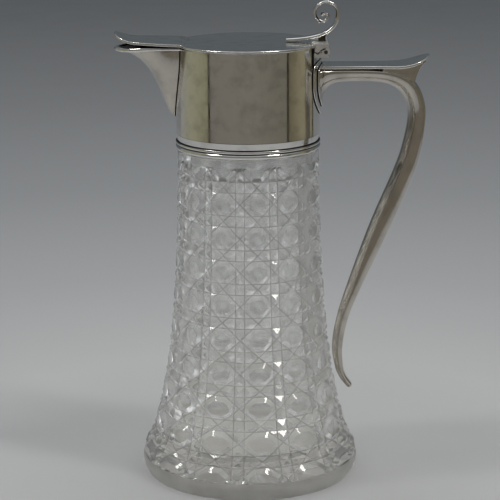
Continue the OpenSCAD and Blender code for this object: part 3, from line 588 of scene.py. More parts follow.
crystal = make_crystal("cut crystal", 0.004, 0.0, (0.985, 0.99, 0.985, 1.0), 0.05)
hazy_crystal = make_crystal("hazy inside of the crystal", 0.22, 0.06, (0.95, 0.95, 0.93, 1.0), 0.02)
dull_crystal = make_crystal("dull foot of the crystal", 0.34, 0.4, (0.3, 0.293, 0.27, 1.0), 0.02)
print("crystal nodes", len(crystal.node_tree.nodes))

# %% [markdown]
# ## Plaster
#
# The collar is set on the glass with a white plaster, which shows only through the glass shoulder and
# from inside. It is chalky, with a few pores and a faint yellow age.

# %% Plaster material
plaster, place = new_material("setting plaster")
chalk = noise(place, 1.5, 4)
finish_with(place.make("ShaderNodeBsdfPrincipled", inputs={
    "Base Color": chalk.rise(0.3, 0.8).mix((0.66, 0.63, 0.56, 1.0), (0.77, 0.75, 0.7, 1.0)),
    "Roughness": 0.85 + chalk * 0.1,
    "Normal": bump(chalk, 0.1 * MM),
}))
print("materials", [m.name for m in bpy.data.materials])

# %% [markdown]
# ## Making a piece from grids
#
# Where a grid closes on itself or shrinks to a pole, several of its points lie on one place. Merging those
# closes the skin, and then the normals can be turned outwards. A closed skin has exactly two faces at each
# edge, which is checked and printed for each piece. Faces are shaded smooth, except over edges sharper
# than the crease angle.

# %% Pieces
merge_distance = 2e-4 * MM


def finish_piece(piece, materials, body, replaced, crease, merged=merge_distance):
    """Close the skin of a new mesh, give it its finish and put it on its body."""
    skin = bmesh.new()
    skin.from_mesh(piece.data)
    bmesh.ops.remove_doubles(skin, verts=skin.verts, dist=merged)
    bmesh.ops.dissolve_degenerate(skin, edges=skin.edges, dist=merge_distance / 2)
    bmesh.ops.recalc_face_normals(skin, faces=skin.faces)
    open_edges = sum(len(edge.link_faces) != 2 for edge in skin.edges)
    skin.to_mesh(piece.data)
    skin.free()
    piece.data.set_sharp_from_angle(angle=math.radians(crease))
    for material in materials:
        piece.data.materials.append(material)
    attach(piece, body)
    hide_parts(replaced)
    print(piece.name, len(piece.data.polygons), "faces,", open_edges, "open edges")


def add_piece(name, parts, material, body, replaced, crease=32):
    """A silver piece from a list of (points, faces) in millimetres."""
    points, faces = np.empty((0, 3)), []
    for part_points, part_faces in parts:
        faces += [[corner + len(points) for corner in face] for face in part_faces]
        points = np.concatenate([points, np.reshape(part_points, (-1, 3))])
    piece = link_mesh(name, points * MM, faces)
    piece.data.shade_smooth()
    finish_piece(piece, [material], body, replaced, crease)
    return piece


# %% [markdown]
# Three helpers make the common forms. Rings carried along a path are closed by a flat face at both ends. A
# turned part is its outline, revolved. And an outline gets small rounded edges, because real edges are never
# sharp and it is the rounding that catches the light. The Screw and Bevel modifiers could do the last two,
# but as arrays the shapes stay open to sums, and nothing is left live on a piece.

# %% Common forms


def ring_grid(rings):
    """Closed rings carried one after another, shut by a flat face at both ends."""
    rows, columns = rings.shape[:2]
    first, last = range(columns), range((rows - 1) * columns, rows * columns)
    return rings, grid_of(rings)[1] + [list(first)[::-1], list(last)]


def revolve(profile, spokes=192):
    """A closed outline of (radius, height), turned round the middle of the jug."""
    r, z = np.asarray(profile).T
    return grid_of(round_axis(r, z, whole_turn(spokes)[:, None]), close_rows=True)


def rounded(corners, radius, steps=4):
    """An outline with its corners rounded: each corner P becomes P + t ((1-s)^2 u + s^2 v), where u and v
    point to its neighbours and t is the radius or less than half of the shorter side."""
    p = np.asarray(corners, float)
    before, after = np.roll(p, 1, 0) - p, np.roll(p, -1, 0) - p
    long_before = np.linalg.norm(before, axis=1, keepdims=True)
    long_after = np.linalg.norm(after, axis=1, keepdims=True)
    t = np.minimum(radius, 0.45 * np.minimum(long_before, long_after))[:, None]
    s = np.linspace(0, 1, steps)[None, :, None]
    u, v = (before / long_before)[:, None], (after / long_after)[:, None]
    return (p[:, None] + t * ((1 - s) ** 2 * u + s**2 * v)).reshape(-1, 2)


# %% [markdown]
# ## Sizes from the frame
#
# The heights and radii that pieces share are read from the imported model, so the surfaces stay where the
# model's own solids are. All sizes are in millimetres. Soldered pieces lie a thin film apart, as in the
# model.

# %% Shared sizes


def box_of(node):
    """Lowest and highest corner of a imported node, in millimetres."""
    low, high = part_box(node)
    return np.array(low) / MM, np.array(high) / MM


film = 0.03
band_low, band_high = box_of("collar_band")
collar_r = band_high[0]
band_z, rim_z = band_low[2], band_high[2]
collar_wall = 1.2
plaster_wall = 1.3
bore_r = collar_r - collar_wall
neck_r = bore_r - plaster_wall
neck_z = box_of("glass_body")[1][2]
shoulder_z = box_of("mount_plaster")[0][2] - film
lid_low, lid_high = box_of("lid_plate")
lid_z = lid_low[2]
lid_thickness = 1.3
lid_top = lid_z + lid_thickness
lid_r = lid_high[0]
print("collar radius", round(collar_r, 2), "rim", round(rim_z, 2), "lid", round(lid_z, 2))

# %% [markdown]
# Four formulas come up in several pieces: the depth of a place on a cylinder, a power that works on both
# sides of zero, the directions of vectors, and a curve of four control points.

# %% Shared formulas


def on_cylinder(r, y):
    """Distance x from the middle plane, where x and y lie on a circle of radius r."""
    return np.sqrt(np.maximum(r * r - y * y, 0))


def power(value, exponent):
    """A power that keeps the sign."""
    return np.sign(value) * np.abs(value) ** exponent


def units(vectors):
    return vectors / np.linalg.norm(vectors, axis=-1, keepdims=True)


def bezier(p, t):
    """Point at t on the curve of four control points."""
    t = np.asarray(t, float)[..., None]
    p = np.asarray(p, float)
    return (1 - t) ** 3 * p[0] + 3 * (1 - t) ** 2 * t * p[1] + 3 * (1 - t) * t * t * p[2] + t**3 * p[3]


# %% [markdown]
# ## The cut glass
#
# The cutter marks the blank in 13 columns and 9 rows, and grinds V-shaped mitres with a wheel. Pairs of
# level and upright mitres frame each button, and slanting ones cross in the bands between, so a button is
# an octagon and the crossings become small pyramids. Every facet is flat and every edge is sharp, which
# is what makes crystal sparkle, so this mesh isn't a smooth grid: each place of the pattern is one point,
# computed for all rows and columns at once, and the facets join the places.
#
# A displacement would need far more faces for edges this sharp, and would still round them.

# %% The blank and its marks
foot_r = 58.2
heel_r = 60.7
heel_z = 8
waist_r = 38
flare_length = 55
columns = 13
rows = 9
cut_bottom_z = 11.5
cut_top_z = shoulder_z - 5.8
mitre_r = 2.5
mitre_depth = 1.8
level_band = 6
upright_share = 0.25
run_out = 1.6
half_x = (1 - upright_share) / 2
row_pitch = (cut_top_z - cut_bottom_z) / rows
half_y = (1 - level_band / row_pitch) / 2


def glass_r(z):
    """Radius of the blank. Up to the heel it is a quarter of a sine, and above it an exponential flare that
    dies away to the waist, with a small bell-shaped swell over the heel."""
    z = np.asarray(z, float)
    foot = foot_r + (heel_r - foot_r) * np.sin(np.pi / 2 * np.clip(z / heel_z, 0, 1))
    flare = waist_r + (heel_r - waist_r) * np.exp((heel_z - z) / flare_length)
    swell = 1.5 * np.exp(-(((z - heel_z - 7) / 5) ** 2)) * np.clip((z - heel_z) / 4, 0, 1)
    return np.where(z < heel_z, foot, flare + swell)


print("a row is", round(row_pitch, 2), "mm high, and a button fills", [2 * half_x, round(2 * half_y, 2)])

# %% [markdown]
# A button's cell has its own x and y, both 0 in the middle of the button and 1 at the next one. The depth of
# a place depends on its distance to the nearest mitre: full at the mitre's bottom and nothing a mitre's
# radius away. Between two mitres that lie closer than that, the facets meet in a ridge or a small peak. Its
# distance is the radius of the circle that fits between the mitres.

# %% Places of the pattern


def cut_point(column, row, x, y, from_mitre):
    """Place (x, y) in the cell of a button. The blank's radius there, less the mitre's depth times
    1 - distance / mitre radius."""
    z = cut_bottom_z + (row + y) * row_pitch
    r = glass_r(z) - mitre_depth * np.maximum(0, 1 - from_mitre / mitre_r)
    return round_axis(r, z, 2 * np.pi * (column + x) / columns)


def inner_radius(base, height):
    """Radius of the circle in a triangle with two like sides."""
    return base * height / (base + 2 * np.hypot(base / 2, height))


def column_pitch(row):
    return 2 * np.pi * glass_r(cut_bottom_z + row * row_pitch) / columns


def place_all(places, column, row):
    """Points of a list of (x, y, distance to a mitre) for every row and column."""
    return np.stack([cut_point(column, row, x, y, m) for x, y, m in places], 2)


def middle_points(column, row):
    """Seven places along the middle of a row of buttons."""
    px = column_pitch(row)
    side = inner_radius(2 * (0.5 - half_x) * row_pitch, (0.5 - half_x) * px)
    table = half_x - mitre_r / px
    hob = half_x + side / px
    return place_all([
        (-half_x, 0, 0), (-table, 0, mitre_r), (table, 0, mitre_r), (half_x, 0, 0),
        (hob, 0, side), (0.5, 0, 0), (1 - hob, 0, side),
    ], column, row)


def half_points(column, row, way):
    """Fourteen places above the middle of a button, or below it where way is -1."""
    px, py = column_pitch(row), row_pitch
    slant = np.hypot(1 / px, 1 / py)
    table_x, table_y = half_x - mitre_r / px, half_y - mitre_r / py
    t1, t2 = 0.5 - mitre_r * slant - table_x, 0.5 - mitre_r * slant - table_y
    v1, v2 = 0.5 - half_x, 0.5 - half_y
    legs = (half_x - v2) * px, (half_y - v1) * py
    corner = (legs[0] + legs[1] - np.hypot(*legs)) / 2
    top = inner_radius(2 * v2 * px, v2 * py)
    band_y = half_y / (1 + 1 / (py * slant))
    band = np.minimum(v1 * px, (half_y - band_y) * py)
    places = [
        (table_x, t1, mitre_r), (t2, table_y, mitre_r), (-t2, table_y, mitre_r), (-table_x, t1, mitre_r),
        (half_x, v1, 0), (v2, half_y, 0), (-v2, half_y, 0), (-half_x, v1, 0),
        (half_x, half_y, 0), (-half_x, half_y, 0),
        (half_x - corner / px, half_y - corner / py, corner),
        (-half_x + corner / px, half_y - corner / py, corner),
        (0, half_y + top / py, top), (0.5, band_y, band),
    ]
    return place_all([(x, way * y, m) for x, y, m in places], column, row)


def band_points(column, row):
    """Four places along the middle of the level band above a row."""
    px, py = column_pitch(row + 0.5), row_pitch
    slant = np.hypot(1 / px, 1 / py)
    hob = half_x / (1 + 1 / (px * slant))
    high = np.minimum(level_band / 2, (half_x - hob) * px)
    corner = np.minimum(level_band / 2, (0.5 - half_x) * px)
    return place_all([(0, 0.5, 0), (hob, 0.5, high), (-hob, 0.5, high), (0.5, 0.5, corner)], column, row)


# %% [markdown]
# The places are now worked out for all rows and columns together. The hand of the cutter is a small seeded
# shift of each point, the same in every run.

# %% All points of the pattern
column = np.arange(columns)[None, :]
middles = middle_points(column, np.arange(rows + 1)[:, None])
cell_rows = np.arange(rows)[:, None]
cells = np.concatenate([
    half_points(column, cell_rows, 1), half_points(column, cell_rows + 1, -1), band_points(column, cell_rows)
], 2)
hand = np.random.default_rng(11)
hand_shift = 0.03
middles[1:-1] += hand.normal(0, hand_shift, middles[1:-1].shape)
cells += hand.normal(0, hand_shift, cells.shape)
pattern_count = middles.size // 3 + cells.size // 3
print("pattern points", pattern_count)

# %% [markdown]
# A facet's corner is named by its group, how many columns it lies to the right, and its place in the
# group. One function turns such a name into point numbers for all rows and columns together.

# %% Facets of the pattern
LOW, HIGH, LOW_MIDDLE, HIGH_MIDDLE, LEVEL = range(5)
V2, V3, V4, C1, C2 = range(5, 10)
CENTRE, HOB_RIGHT, HOB_LEFT, CORNER = range(4)
M_LEFT = 0
level_count = 4
middle_count, cell_count = middles.shape[2], cells.shape[2]
half_count = (cell_count - level_count) // 2


def corner_number(corner):
    """Point numbers of one corner, for every row and column of cells."""
    group, shift, spot = corner
    row, k = np.meshgrid(np.arange(rows), (np.arange(columns) + shift) % columns, indexing="ij")
    if group in (LOW_MIDDLE, HIGH_MIDDLE):
        return ((row + group - LOW_MIDDLE) * columns + k) * middle_count + spot
    start_of = {LOW: 0, HIGH: half_count, LEVEL: 2 * half_count}[group]
    return (rows + 1) * columns * middle_count + (row * columns + k) * cell_count + start_of + spot


def roof(top, ring):
    """Facets from each side of a ring of corners up to its top."""
    return [[a, b, top] for a, b in zip(ring, ring[1:] + ring[:1])]


def half_facets(half, middle):
    """Facets between the middle of a row and the level mitre beyond it."""
    t1, t2, t3, t4, v1, v2, v3, v4, c1, c2, k1, k2, top, band = [(half, 0, i) for i in range(half_count)]
    m_left, left, right, m_right, side, cross, side_far = [(middle, 0, i) for i in range(middle_count)]
    next_v4, next_c2, next_left = (half, 1, V4), (half, 1, C2), (middle, 1, M_LEFT)
    return [
        [left, right, t1, t4], [t4, t1, t2, t3], [right, m_right, v1, t1], [t1, v1, v2, t2],
        [t2, v2, v3, t3], [t3, v3, v4, t4], [t4, v4, m_left, left],
        *roof(k1, [v1, c1, v2]), *roof(k2, [v3, c2, v4]), *roof(top, [v2, (LEVEL, 0, CENTRE), v3]),
        *roof(band, [cross, next_v4, next_c2, c1, v1]),
        [m_right, side, v1], [side, cross, v1], [cross, side_far, next_v4], [side_far, next_left, next_v4],
    ]


def level_facets():
    """Facets of the level band between two rows of buttons."""
    a1, a2, b1, b2 = (LOW, 0, C1), (LOW, 0, C2), (HIGH, 0, C1), (HIGH, 0, C2)
    centre = (LEVEL, 0, CENTRE)
    return [
        *roof((LEVEL, 0, HOB_RIGHT), [centre, (LOW, 0, V2), a1, b1, (HIGH, 0, V2)]),
        *roof((LEVEL, 0, HOB_LEFT), [centre, (HIGH, 0, V3), b2, a2, (LOW, 0, V3)]),
        *roof((LEVEL, 0, CORNER), [a1, (LOW, 1, C2), (HIGH, 1, C2), b1]),
    ]


facets = half_facets(LOW, LOW_MIDDLE) + half_facets(HIGH, HIGH_MIDDLE) + level_facets()
pattern_faces = []
for facet in facets:
    corners = np.stack([corner_number(corner) for corner in facet], -1)
    pattern_faces += corners.reshape(-1, len(facet)).tolist()
print("facets", len(pattern_faces))

# %% [markdown]
# Above and below the pattern the glass is turned and polished smooth, and so is its inside. These parts
# are rings round the axis. They have four points for each one of the pattern's edge, and a fan of narrow
# facets joins the two.

# %% Rings and fans
fine = 4
edge_count = columns * middle_count
edge_points = middles[0].reshape(-1, 3)
edge_angle = np.arctan2(edge_points[:, 1], edge_points[:, 0])
next_angle = np.roll(edge_angle, -1)
gap = (next_angle - edge_angle) % (2 * np.pi)
ring_angle = (edge_angle[:, None] + gap[:, None] * np.arange(fine) / fine).ravel()
ring_count = edge_count * fine


def smooth_rings(outline):
    """Rings for a list of (radius, height)."""
    r, z = np.asarray(outline, float).T[:, :, None]
    return round_axis(r, z, ring_angle)


def fan_faces(coarse_start, fine_start):
    """Facets from each coarse edge point to its four fine ones, and on to the next coarse point."""
    i = np.arange(edge_count)
    here, following = coarse_start + i, coarse_start + (i + 1) % edge_count
    fans = [
        [here, fine_start + i * fine + k, fine_start + (i * fine + k + 1) % ring_count] for k in range(fine)
    ]
    fans.append([here, fine_start + (i + 1) * fine % ring_count, following])
    return np.concatenate([np.stack(fan, -1) for fan in fans]).tolist()


print("a ring has", ring_count, "points for", edge_count, "of the pattern's edge")

# %% [markdown]
# The foot and the inside are outlines of radius and height. Underneath, the foot has a star of mitres cut
# into it, as such jugs have, which shows through the thick bottom. The inside follows the blank at the
# thickness of the wall, and goes over into the flat bottom in a quarter circle.

# %% Smooth parts of the glass
glass_wall = 7
glass_bottom = 15
floor_round = 9
cavity_top = glass_bottom + floor_round
mouth_r = neck_r - 5


def star_depth(r, angle, points=26, star_r=47, deepest=2.2):
    """Depth of the star under the foot: V-shaped rays, as wide and deep as a power of the sine of their
    length, so that they taper to both ends."""
    share = np.clip(r / star_r, 0, 1)
    half_width = 4.6 * np.sin(np.pi * share) ** 0.7 * (0.35 + 0.65 * share) + 1e-6
    turn = (angle * points / (2 * np.pi)) % 1
    aside = np.minimum(turn, 1 - turn) * 2 * np.pi * r / points
    return deepest * np.sin(np.pi * share) ** 0.7 * np.maximum(0, 1 - aside / half_width)


foot_outline = [(0.001, 0)] + [(r, 0) for r in np.linspace(3, 48, 22)] + [(50, 0), (foot_r - 0.8, 0)]
foot_outline += [(glass_r(z), z) for z in heel_z * np.linspace(0.03, 1, 8)]
foot_outline += [(glass_r(cut_bottom_z - run_out), cut_bottom_z - run_out)]
low_rings = smooth_rings(foot_outline)
low_radius = np.hypot(low_rings[..., 0], low_rings[..., 1])
underside = low_rings[..., 2] == 0
low_rings[..., 2] += np.where(underside, star_depth(low_radius, ring_angle), 0)

neck_start = cut_top_z + run_out
shoulder_r = glass_r(shoulder_z)
upper_outline = [
    (glass_r(neck_start), neck_start), (shoulder_r, shoulder_z - 0.3), (shoulder_r - 0.3, shoulder_z),
    (neck_r + 0.3, shoulder_z), (neck_r, shoulder_z + 0.3), (neck_r, neck_z - 0.6), (neck_r - 0.6, neck_z),
    (mouth_r + 0.8, neck_z), (mouth_r, neck_z - 0.8),
]
bend = np.radians(np.linspace(90, 0, 10))[1:]
bend_r = glass_r(cavity_top) - glass_wall - floor_round
inside_outline = [(glass_r(z) - glass_wall, z) for z in np.linspace(shoulder_z, cavity_top, 24)]
inside_outline += [(bend_r + floor_round * math.sin(a), cavity_top - floor_round * math.cos(a)) for a in bend]
inside_outline += [(r, glass_bottom) for r in np.linspace(bend_r, 0.001, 6)[1:]]
high_rings = smooth_rings(upper_outline + inside_outline)
print("rings", len(low_rings), "below and", len(high_rings), "above and inside, of", ring_count, "points")

# %% [markdown]
# All points go into one mesh: first the pattern, then the rings below and above it. The cuts keep flat
# facets and the turned parts are shaded smooth. The attribute says how deep each point lies in a cut.

# %% The glass body
low_start = pattern_count
low_last = low_start + (len(low_rings) - 1) * ring_count
high_start = low_last + ring_count
glass_points = np.concatenate([a.reshape(-1, 3) for a in (middles, cells, low_rings, high_rings)])
flat_faces = pattern_faces + fan_faces(0, low_last) + fan_faces(rows * columns * middle_count, high_start)
turned_faces = np.concatenate([
    grid_faces(*rings.shape[:2], False, True) + first_point
    for rings, first_point in ((low_rings, low_start), (high_rings, high_start))
]).tolist()
glass = link_mesh("cut_glass_body", glass_points * MM, flat_faces + turned_faces)
glass.data.polygons.foreach_set("use_smooth", np.arange(len(glass.data.polygons)) >= len(flat_faces))
cut_share = (glass_r(glass_points[:, 2]) - np.hypot(glass_points[:, 0], glass_points[:, 1])) / mitre_depth
cut_share[pattern_count:] = 0
cut_depth = glass.data.attributes.new("cut_depth", "FLOAT", "POINT")
cut_depth.data.foreach_set("value", cut_share.astype(np.float32))
finish_piece(glass, [crystal, hazy_crystal, dull_crystal], "jug", "glass_body", 28, 2e-3 * MM)

# %% [markdown]
# The materials follow the faces: hazy inside, dull under the foot and on the bottom of the inside, and
# clear elsewhere.

# %% Hazy and dull faces


def face_values(piece, name):
    """A vector of every face of the piece, such as its middle or its normal."""
    values = np.empty(len(piece.data.polygons) * 3)
    piece.data.polygons.foreach_get(name, values)
    return values.reshape(-1, 3)


def set_finish(piece, numbers):
    """Give each face the finish of this number among the piece's own."""
    piece.data.polygons.foreach_set("material_index", np.asarray(numbers).astype(np.int32))


lees_height = 4
middle = face_values(glass, "center") / MM
face_r, face_z = np.hypot(middle[:, 0], middle[:, 1]), middle[:, 2]
within_wall = (face_z > glass_bottom - 1) & (face_r < glass_r(face_z) - 0.6 * glass_wall)
inside = within_wall | (face_r < mouth_r + 0.5)
dull_bottom = (face_z < cut_bottom_z - run_out) | inside & (face_z < glass_bottom + lees_height)
set_finish(glass, np.where(dull_bottom, 2, inside))
print("hazy faces", int((inside & ~dull_bottom).sum()), "dull faces", int(dull_bottom.sum()))

# %% [markdown]
# ## The collar
#
# The band is rolled from sheet and soldered, and stands on a tapered skirt and two half-round wires, the
# reeds. All three are turned parts. The grooves between them are painted black: shade in the gaps, with some
# oxide.

# %% Reeds and skirt
skirt_foot_r = collar_r - 0.6
skirt_z = box_of("collar_skirt")[0][2]
reed_joint_z = box_of("upper_reed")[0][2]


# Painted shade, with some oxide, in the grooves between the reeds, the skirt and the band.
def groove_shade_and_oxide(x, y, z):
    return near(z, reed_joint_z, 0.4).either(near(z, skirt_z, 0.45)).either(near(z, band_z, 0.16))


grooved_silver = make_silver("silver with shaded grooves", 0.02, (1, 1, 9), 0.08, groove_shade_and_oxide)
for node in ("lower_reed", "upper_reed"):
    low, high = box_of(node)
    half = (high[2] - low[2]) / 2
    angle = np.radians(np.linspace(-90, 90, 25))
    middle_r = high[0] - half
    bead = np.stack([middle_r + half * np.cos(angle), (low[2] + high[2]) / 2 + half * np.sin(angle)], -1)
    outline = np.concatenate([[[bore_r, low[2]]], bead, [[bore_r, high[2]]]])
    add_piece(node + "_bead", [revolve(outline)], grooved_silver, "jug", node)

skirt = rounded([
    (bore_r, skirt_z), (skirt_foot_r - 0.1, skirt_z), (skirt_foot_r, skirt_z + 0.4),
    (collar_r - 0.1, band_z - 0.6), (collar_r, band_z), (bore_r, band_z),
], 0.3)
add_piece("skirt_strip", [revolve(skirt)], grooved_silver, "jug", "collar_skirt")

# %% [markdown]
# ## The spout
#
# The spout is raised from sheet, and leaves the band along a long U. Each level of it is a blunt nose:
# its tip lies on the keel, the curve of the underside, and its two ends lie on the band. A surface of two
# parameters fits that well: the level, and the way round the nose. Sculpting could reach the same form, but
# a formula keeps it fair and symmetric. The keel's normal moves the inner surface in by the thickness of
# the sheet.

# %% Form of the spout
spout_reach, spout_height, spout_width = 33, 39.4, 32
spout_wall = 1.1
wire_r = 1.15
wire_lift, wire_seam = 0.7, 0.12
edge_z = rim_z + wire_lift - wire_r - wire_seam
edge_fall = 1.1
spout_root = np.array([collar_r, rim_z - spout_height])
spout_tip = np.array([collar_r + spout_reach - 2 * wire_r, edge_z - 1.8])
keel = [
    spout_root,
    spout_root + [0.26 * spout_reach, 0.085 * spout_height],
    [collar_r + 0.23 * spout_reach, spout_tip[1] - 0.085 * spout_height],
    spout_tip,
]


def level_z(climb):
    """Height of the nose's two ends for a share of the climb from the root to the edge."""
    return spout_root[1] + (edge_z - edge_fall - spout_root[1]) * climb


def climb_of(keel_z):
    return (keel_z - spout_root[1]) / (spout_tip[1] - spout_root[1])


def nose(t, turn, inset):
    """Points of the levels t and the turns, from -1 at one side to 1 at the other. The side distance is
    the half width times a power of the turn's sine, and the reach goes with a power of its cosine. That
    power gets smaller with the level, so the nose is blunter the higher it lies."""
    t = np.asarray(t, float)[:, None]
    ahead = np.minimum(t[:, 0] + 0.01, 1)
    slope = units(bezier(keel, ahead) - bezier(keel, ahead - 0.01))
    on_keel = bezier(keel, t[:, 0])
    k = on_keel + inset * np.stack([-slope[:, 1], slope[:, 0]], -1)
    side_z = level_z(climb_of(on_keel[:, 1]))
    side_share = np.maximum(side_z - spout_root[1], 0) / spout_height
    half_width = spout_width / 2 * np.sin(np.pi / 2 * side_share) ** 0.8
    w = np.maximum(half_width - inset, 0.6 * half_width)
    x0 = on_cylinder(collar_r + film, w)
    reach = np.maximum(k[:, 0] - x0, 0.2)
    blunt = 2.6 + 1.4 * t
    a = np.pi / 2 * np.asarray(turn)[None, :]
    side = power(np.sin(a), 1.25)
    x = -x0[:, None] - reach[:, None] * np.maximum(np.cos(a), 0) ** (2 / blunt)
    z = k[:, 1:2] + (side_z[:, None] - k[:, 1:2]) * side * side
    return np.stack([x, w[:, None] * side, z], -1)


print("keel from", spout_root.round(1), "to", spout_tip.round(1))

# %% [markdown]
# The sheet is one closed strip: the outer surface and the inner one, joined along the edge, and each
# gathered to a point at the root. Its silver is a darker, warmer copy of the polished one: a little wear, and
# painted shade that dims what it mirrors. Under the wire and along the band it is painted black, as shade in
# the seams, with some oxide.

# %% Sheet of the spout
levels = np.concatenate([[0.06], np.linspace(0.075, 1, 44)])
turns = np.sin(np.pi / 2 * np.linspace(-1, 1, 73))
outer, inner = nose(levels, turns, 0), nose(levels, turns, spout_wall)
edge = (outer[-1] + inner[-1]) / 2
foot_x = -collar_r - film
root_out = np.broadcast_to([foot_x, 0, spout_root[1]], outer[0].shape)
root_in = np.broadcast_to([foot_x, 0, spout_root[1] + 1.3 * spout_wall], outer[0].shape)
sheet_rows = [
    np.concatenate([root_out, root_in[::-1]])[None],
    np.concatenate([outer, inner[:, ::-1]], 1),
    np.concatenate([edge, edge[::-1]])[None],
]
sheet = grid_of(np.concatenate(sheet_rows))


# Painted shade, with some oxide: black under the wire and along the seam with the band.
def spout_seam_shade(x, y, z):
    return near(z, edge_z - 0.2, 0.5).either(near(from_axis(x, y), collar_r + film, 0.5))


spout_silver = make_silver("silver of the spout", 0.03, (1, 1, 5), 0.13, spout_seam_shade, worn_and_shaded_colour)
spout = add_piece("spout_sheet", [sheet], spout_silver, "jug", "spout_shell", crease=50)

# %% [markdown]
# Nobody polishes the inside of a spout, and wine darkens it. So the faces that look into the hollow get the
# tarnished silver, and later those of the lid that cover it. They are chosen by their middles and normals.

# %% Tarnish inside the spout


def tarnish(piece, choose):
    """The tarnished silver on the faces that a function of their middles and normals chooses."""
    piece.data.materials.append(tarnished_and_shaded_silver)
    chosen = choose(face_values(piece, "center") / MM, face_values(piece, "normal"))
    set_finish(piece, chosen)
    print(piece.name, int(chosen.sum()), "tarnished faces")


def faces_into_spout(middle, normal):
    """Faces that look towards a point in the middle of the spout's mouth."""
    inward = (normal * ([-collar_r - 8, 0, rim_z] - middle)).sum(1)
    return (inward > 0) & (middle[:, 0] < -collar_r + 12)


tarnish(spout, faces_into_spout)

# %% [markdown]
# A round wire stiffens the spout's edge. It is a circle carried along the edge: at each point the circle
# stands square to the way the edge runs, lifted off the sheet by its own radius. A curve with a bevel would
# be as round, but it couldn't be cut off along the collar, as the last ring at each end is here.

# %% Wire on the spout


def along_path(points):
    """Direction of a path at each of its points, from its two neighbours."""
    first, last = points[1:2] - points[:1], points[-1:] - points[-2:-1]
    return units(np.concatenate([first, points[2:] - points[:-2], last]))


def circle_along(centres, out, up, radius, sides=20):
    """Circle round each centre: centre + radius (cos a out + sin a up)."""
    a = whole_turn(sides)[None, :, None]
    return centres[:, None] + radius * (np.cos(a) * out[:, None] + np.sin(a) * up[:, None])


run = along_path(edge)
slope = outer[-1] - nose([0.95], turns, 0)[0]
up = units(slope - (slope * run).sum(-1, keepdims=True) * run)
centres = edge + (wire_r + wire_seam) * up
wire_rings = circle_along(centres, np.cross(run, up), up, wire_r)
run_in = wire_rings[[0, -1]] + [3, 0, 0]
run_in[..., 0] = np.minimum(run_in[..., 0], -on_cylinder(collar_r + film, run_in[..., 1]))
wire_rings = np.concatenate([run_in[:1], wire_rings, run_in[1:]])
add_piece("spout_wire", [ring_grid(wire_rings)], silver, "jug", "spout_rim_wire", crease=60)

# %% [markdown]
# ## The band
#
# The band is a plain cylinder with a way through into the spout. Its top edge, as a height for each
# angle, dips there along the spout's own U, so one grid of angle and way round the wall's section makes
# the band and the opening together. A Boolean would cut the opening too, but leaves long thin faces that
# spoil the mirror.

# %% Top edge of the band
opening_half = nose(levels, np.array([1.0]), spout_wall)[:, 0, 1] - film
opening_z = level_z(climb_of(bezier(keel, levels)[:, 1])) + 2 * spout_wall
opening_z = np.concatenate([[spout_root[1] + 3 * spout_wall], opening_z])
opening_half = np.concatenate([[0], opening_half])
rim_half = np.interp(rim_z, opening_z, opening_half)
rim_angle = math.asin(rim_half / collar_r)
dense = rim_angle * np.sin(np.linspace(0, np.pi / 2, 40))
rim_step = 1e-4
rest = rim_angle + rim_step + np.linspace(0, 1, 120) ** 1.3 * (np.pi - rim_angle - rim_step)
away = np.concatenate([dense, rest])
away = np.concatenate([-away[:0:-1], away[:-1]])
aside_y = collar_r * np.sin(np.minimum(np.abs(away), rim_angle))
top_z = np.where(np.abs(away) <= rim_angle, np.interp(aside_y, opening_half, opening_z), rim_z)
print("opening", round(2 * rim_half, 1), "mm wide at the rim,", round(rim_z - top_z.min(), 1), "mm deep")

# %% [markdown]
# The section of the wall is a list of radius, share of the height and rise over it: up outside, over the
# rounded top edge and down inside. A painted shadow turns the band black at the near end of the hinge.

# %% Band
edge_round = 0.25
hinge_end_x = 34.8
rounding = quarter_turn(5)
outer_wall = [(collar_r, share, 0) for share in np.linspace(0, 1, 30)]
top_edge = [(collar_r - edge_round * (1 - math.cos(a)), 1, edge_round * math.sin(a)) for a in rounding[1:]]
top_edge += [(bore_r + edge_round * (1 - math.sin(a)), 1, edge_round * math.cos(a)) for a in rounding]
inner_wall = [(bore_r, share, 0) for share in np.linspace(1, 0, 12)]
section_r, section_share, section_up = np.array(outer_wall + top_edge + inner_wall).T
reach_z = (top_z - edge_round - band_z)[:, None]
band_grid = np.stack([
    -section_r * np.cos(away)[:, None],
    section_r * np.sin(away)[:, None],
    band_z + reach_z * section_share + section_up,
], -1)


# Painted shadow of the hinge on the band.
def band_hinge_shadow(x, y, z):
    """Painted shadow of the hinge: black beside its near end, on the band."""
    return near(x, hinge_end_x, 1) * (y < 0) * z.rise((rim_z - 13) * MM, (rim_z - 10) * MM)


band_silver = make_silver("silver of the band", 0.035, (1, 1, 9), black_at=band_hinge_shadow)
add_piece("plain_band", [grid_of(band_grid, close_rows=True)], band_silver, "jug", "collar_band")

# %% [markdown]
# ## Plates with a soft edge
#
# The lid, the plates behind the handle and the plate on top of it are all cut from sheet. Solidify and
# Bevel would thicken a flat face and round its edge, but the face would have no points inside to bend it by.
# So a plate here is an outline drawn in towards its middle: ring by ring over one face, round the edge in a
# quarter circle, and back over the other face. A last function puts the flat plate where it belongs, such as
# wrapped round the collar.

# %% Plates


def round_edges(thickness, edge, steps):
    """Insets and levels of an outline that is carried from level 0 to the thickness. At both ends it
    is drawn in by edge (1 - sin a), while the level takes its last edge (1 - cos a)."""
    a = quarter_turn(steps)
    inset, level = edge * (1 - np.sin(a)), edge * (1 - np.cos(a))
    return np.concatenate([inset, inset[::-1]]), np.concatenate([level, thickness - level[::-1]])


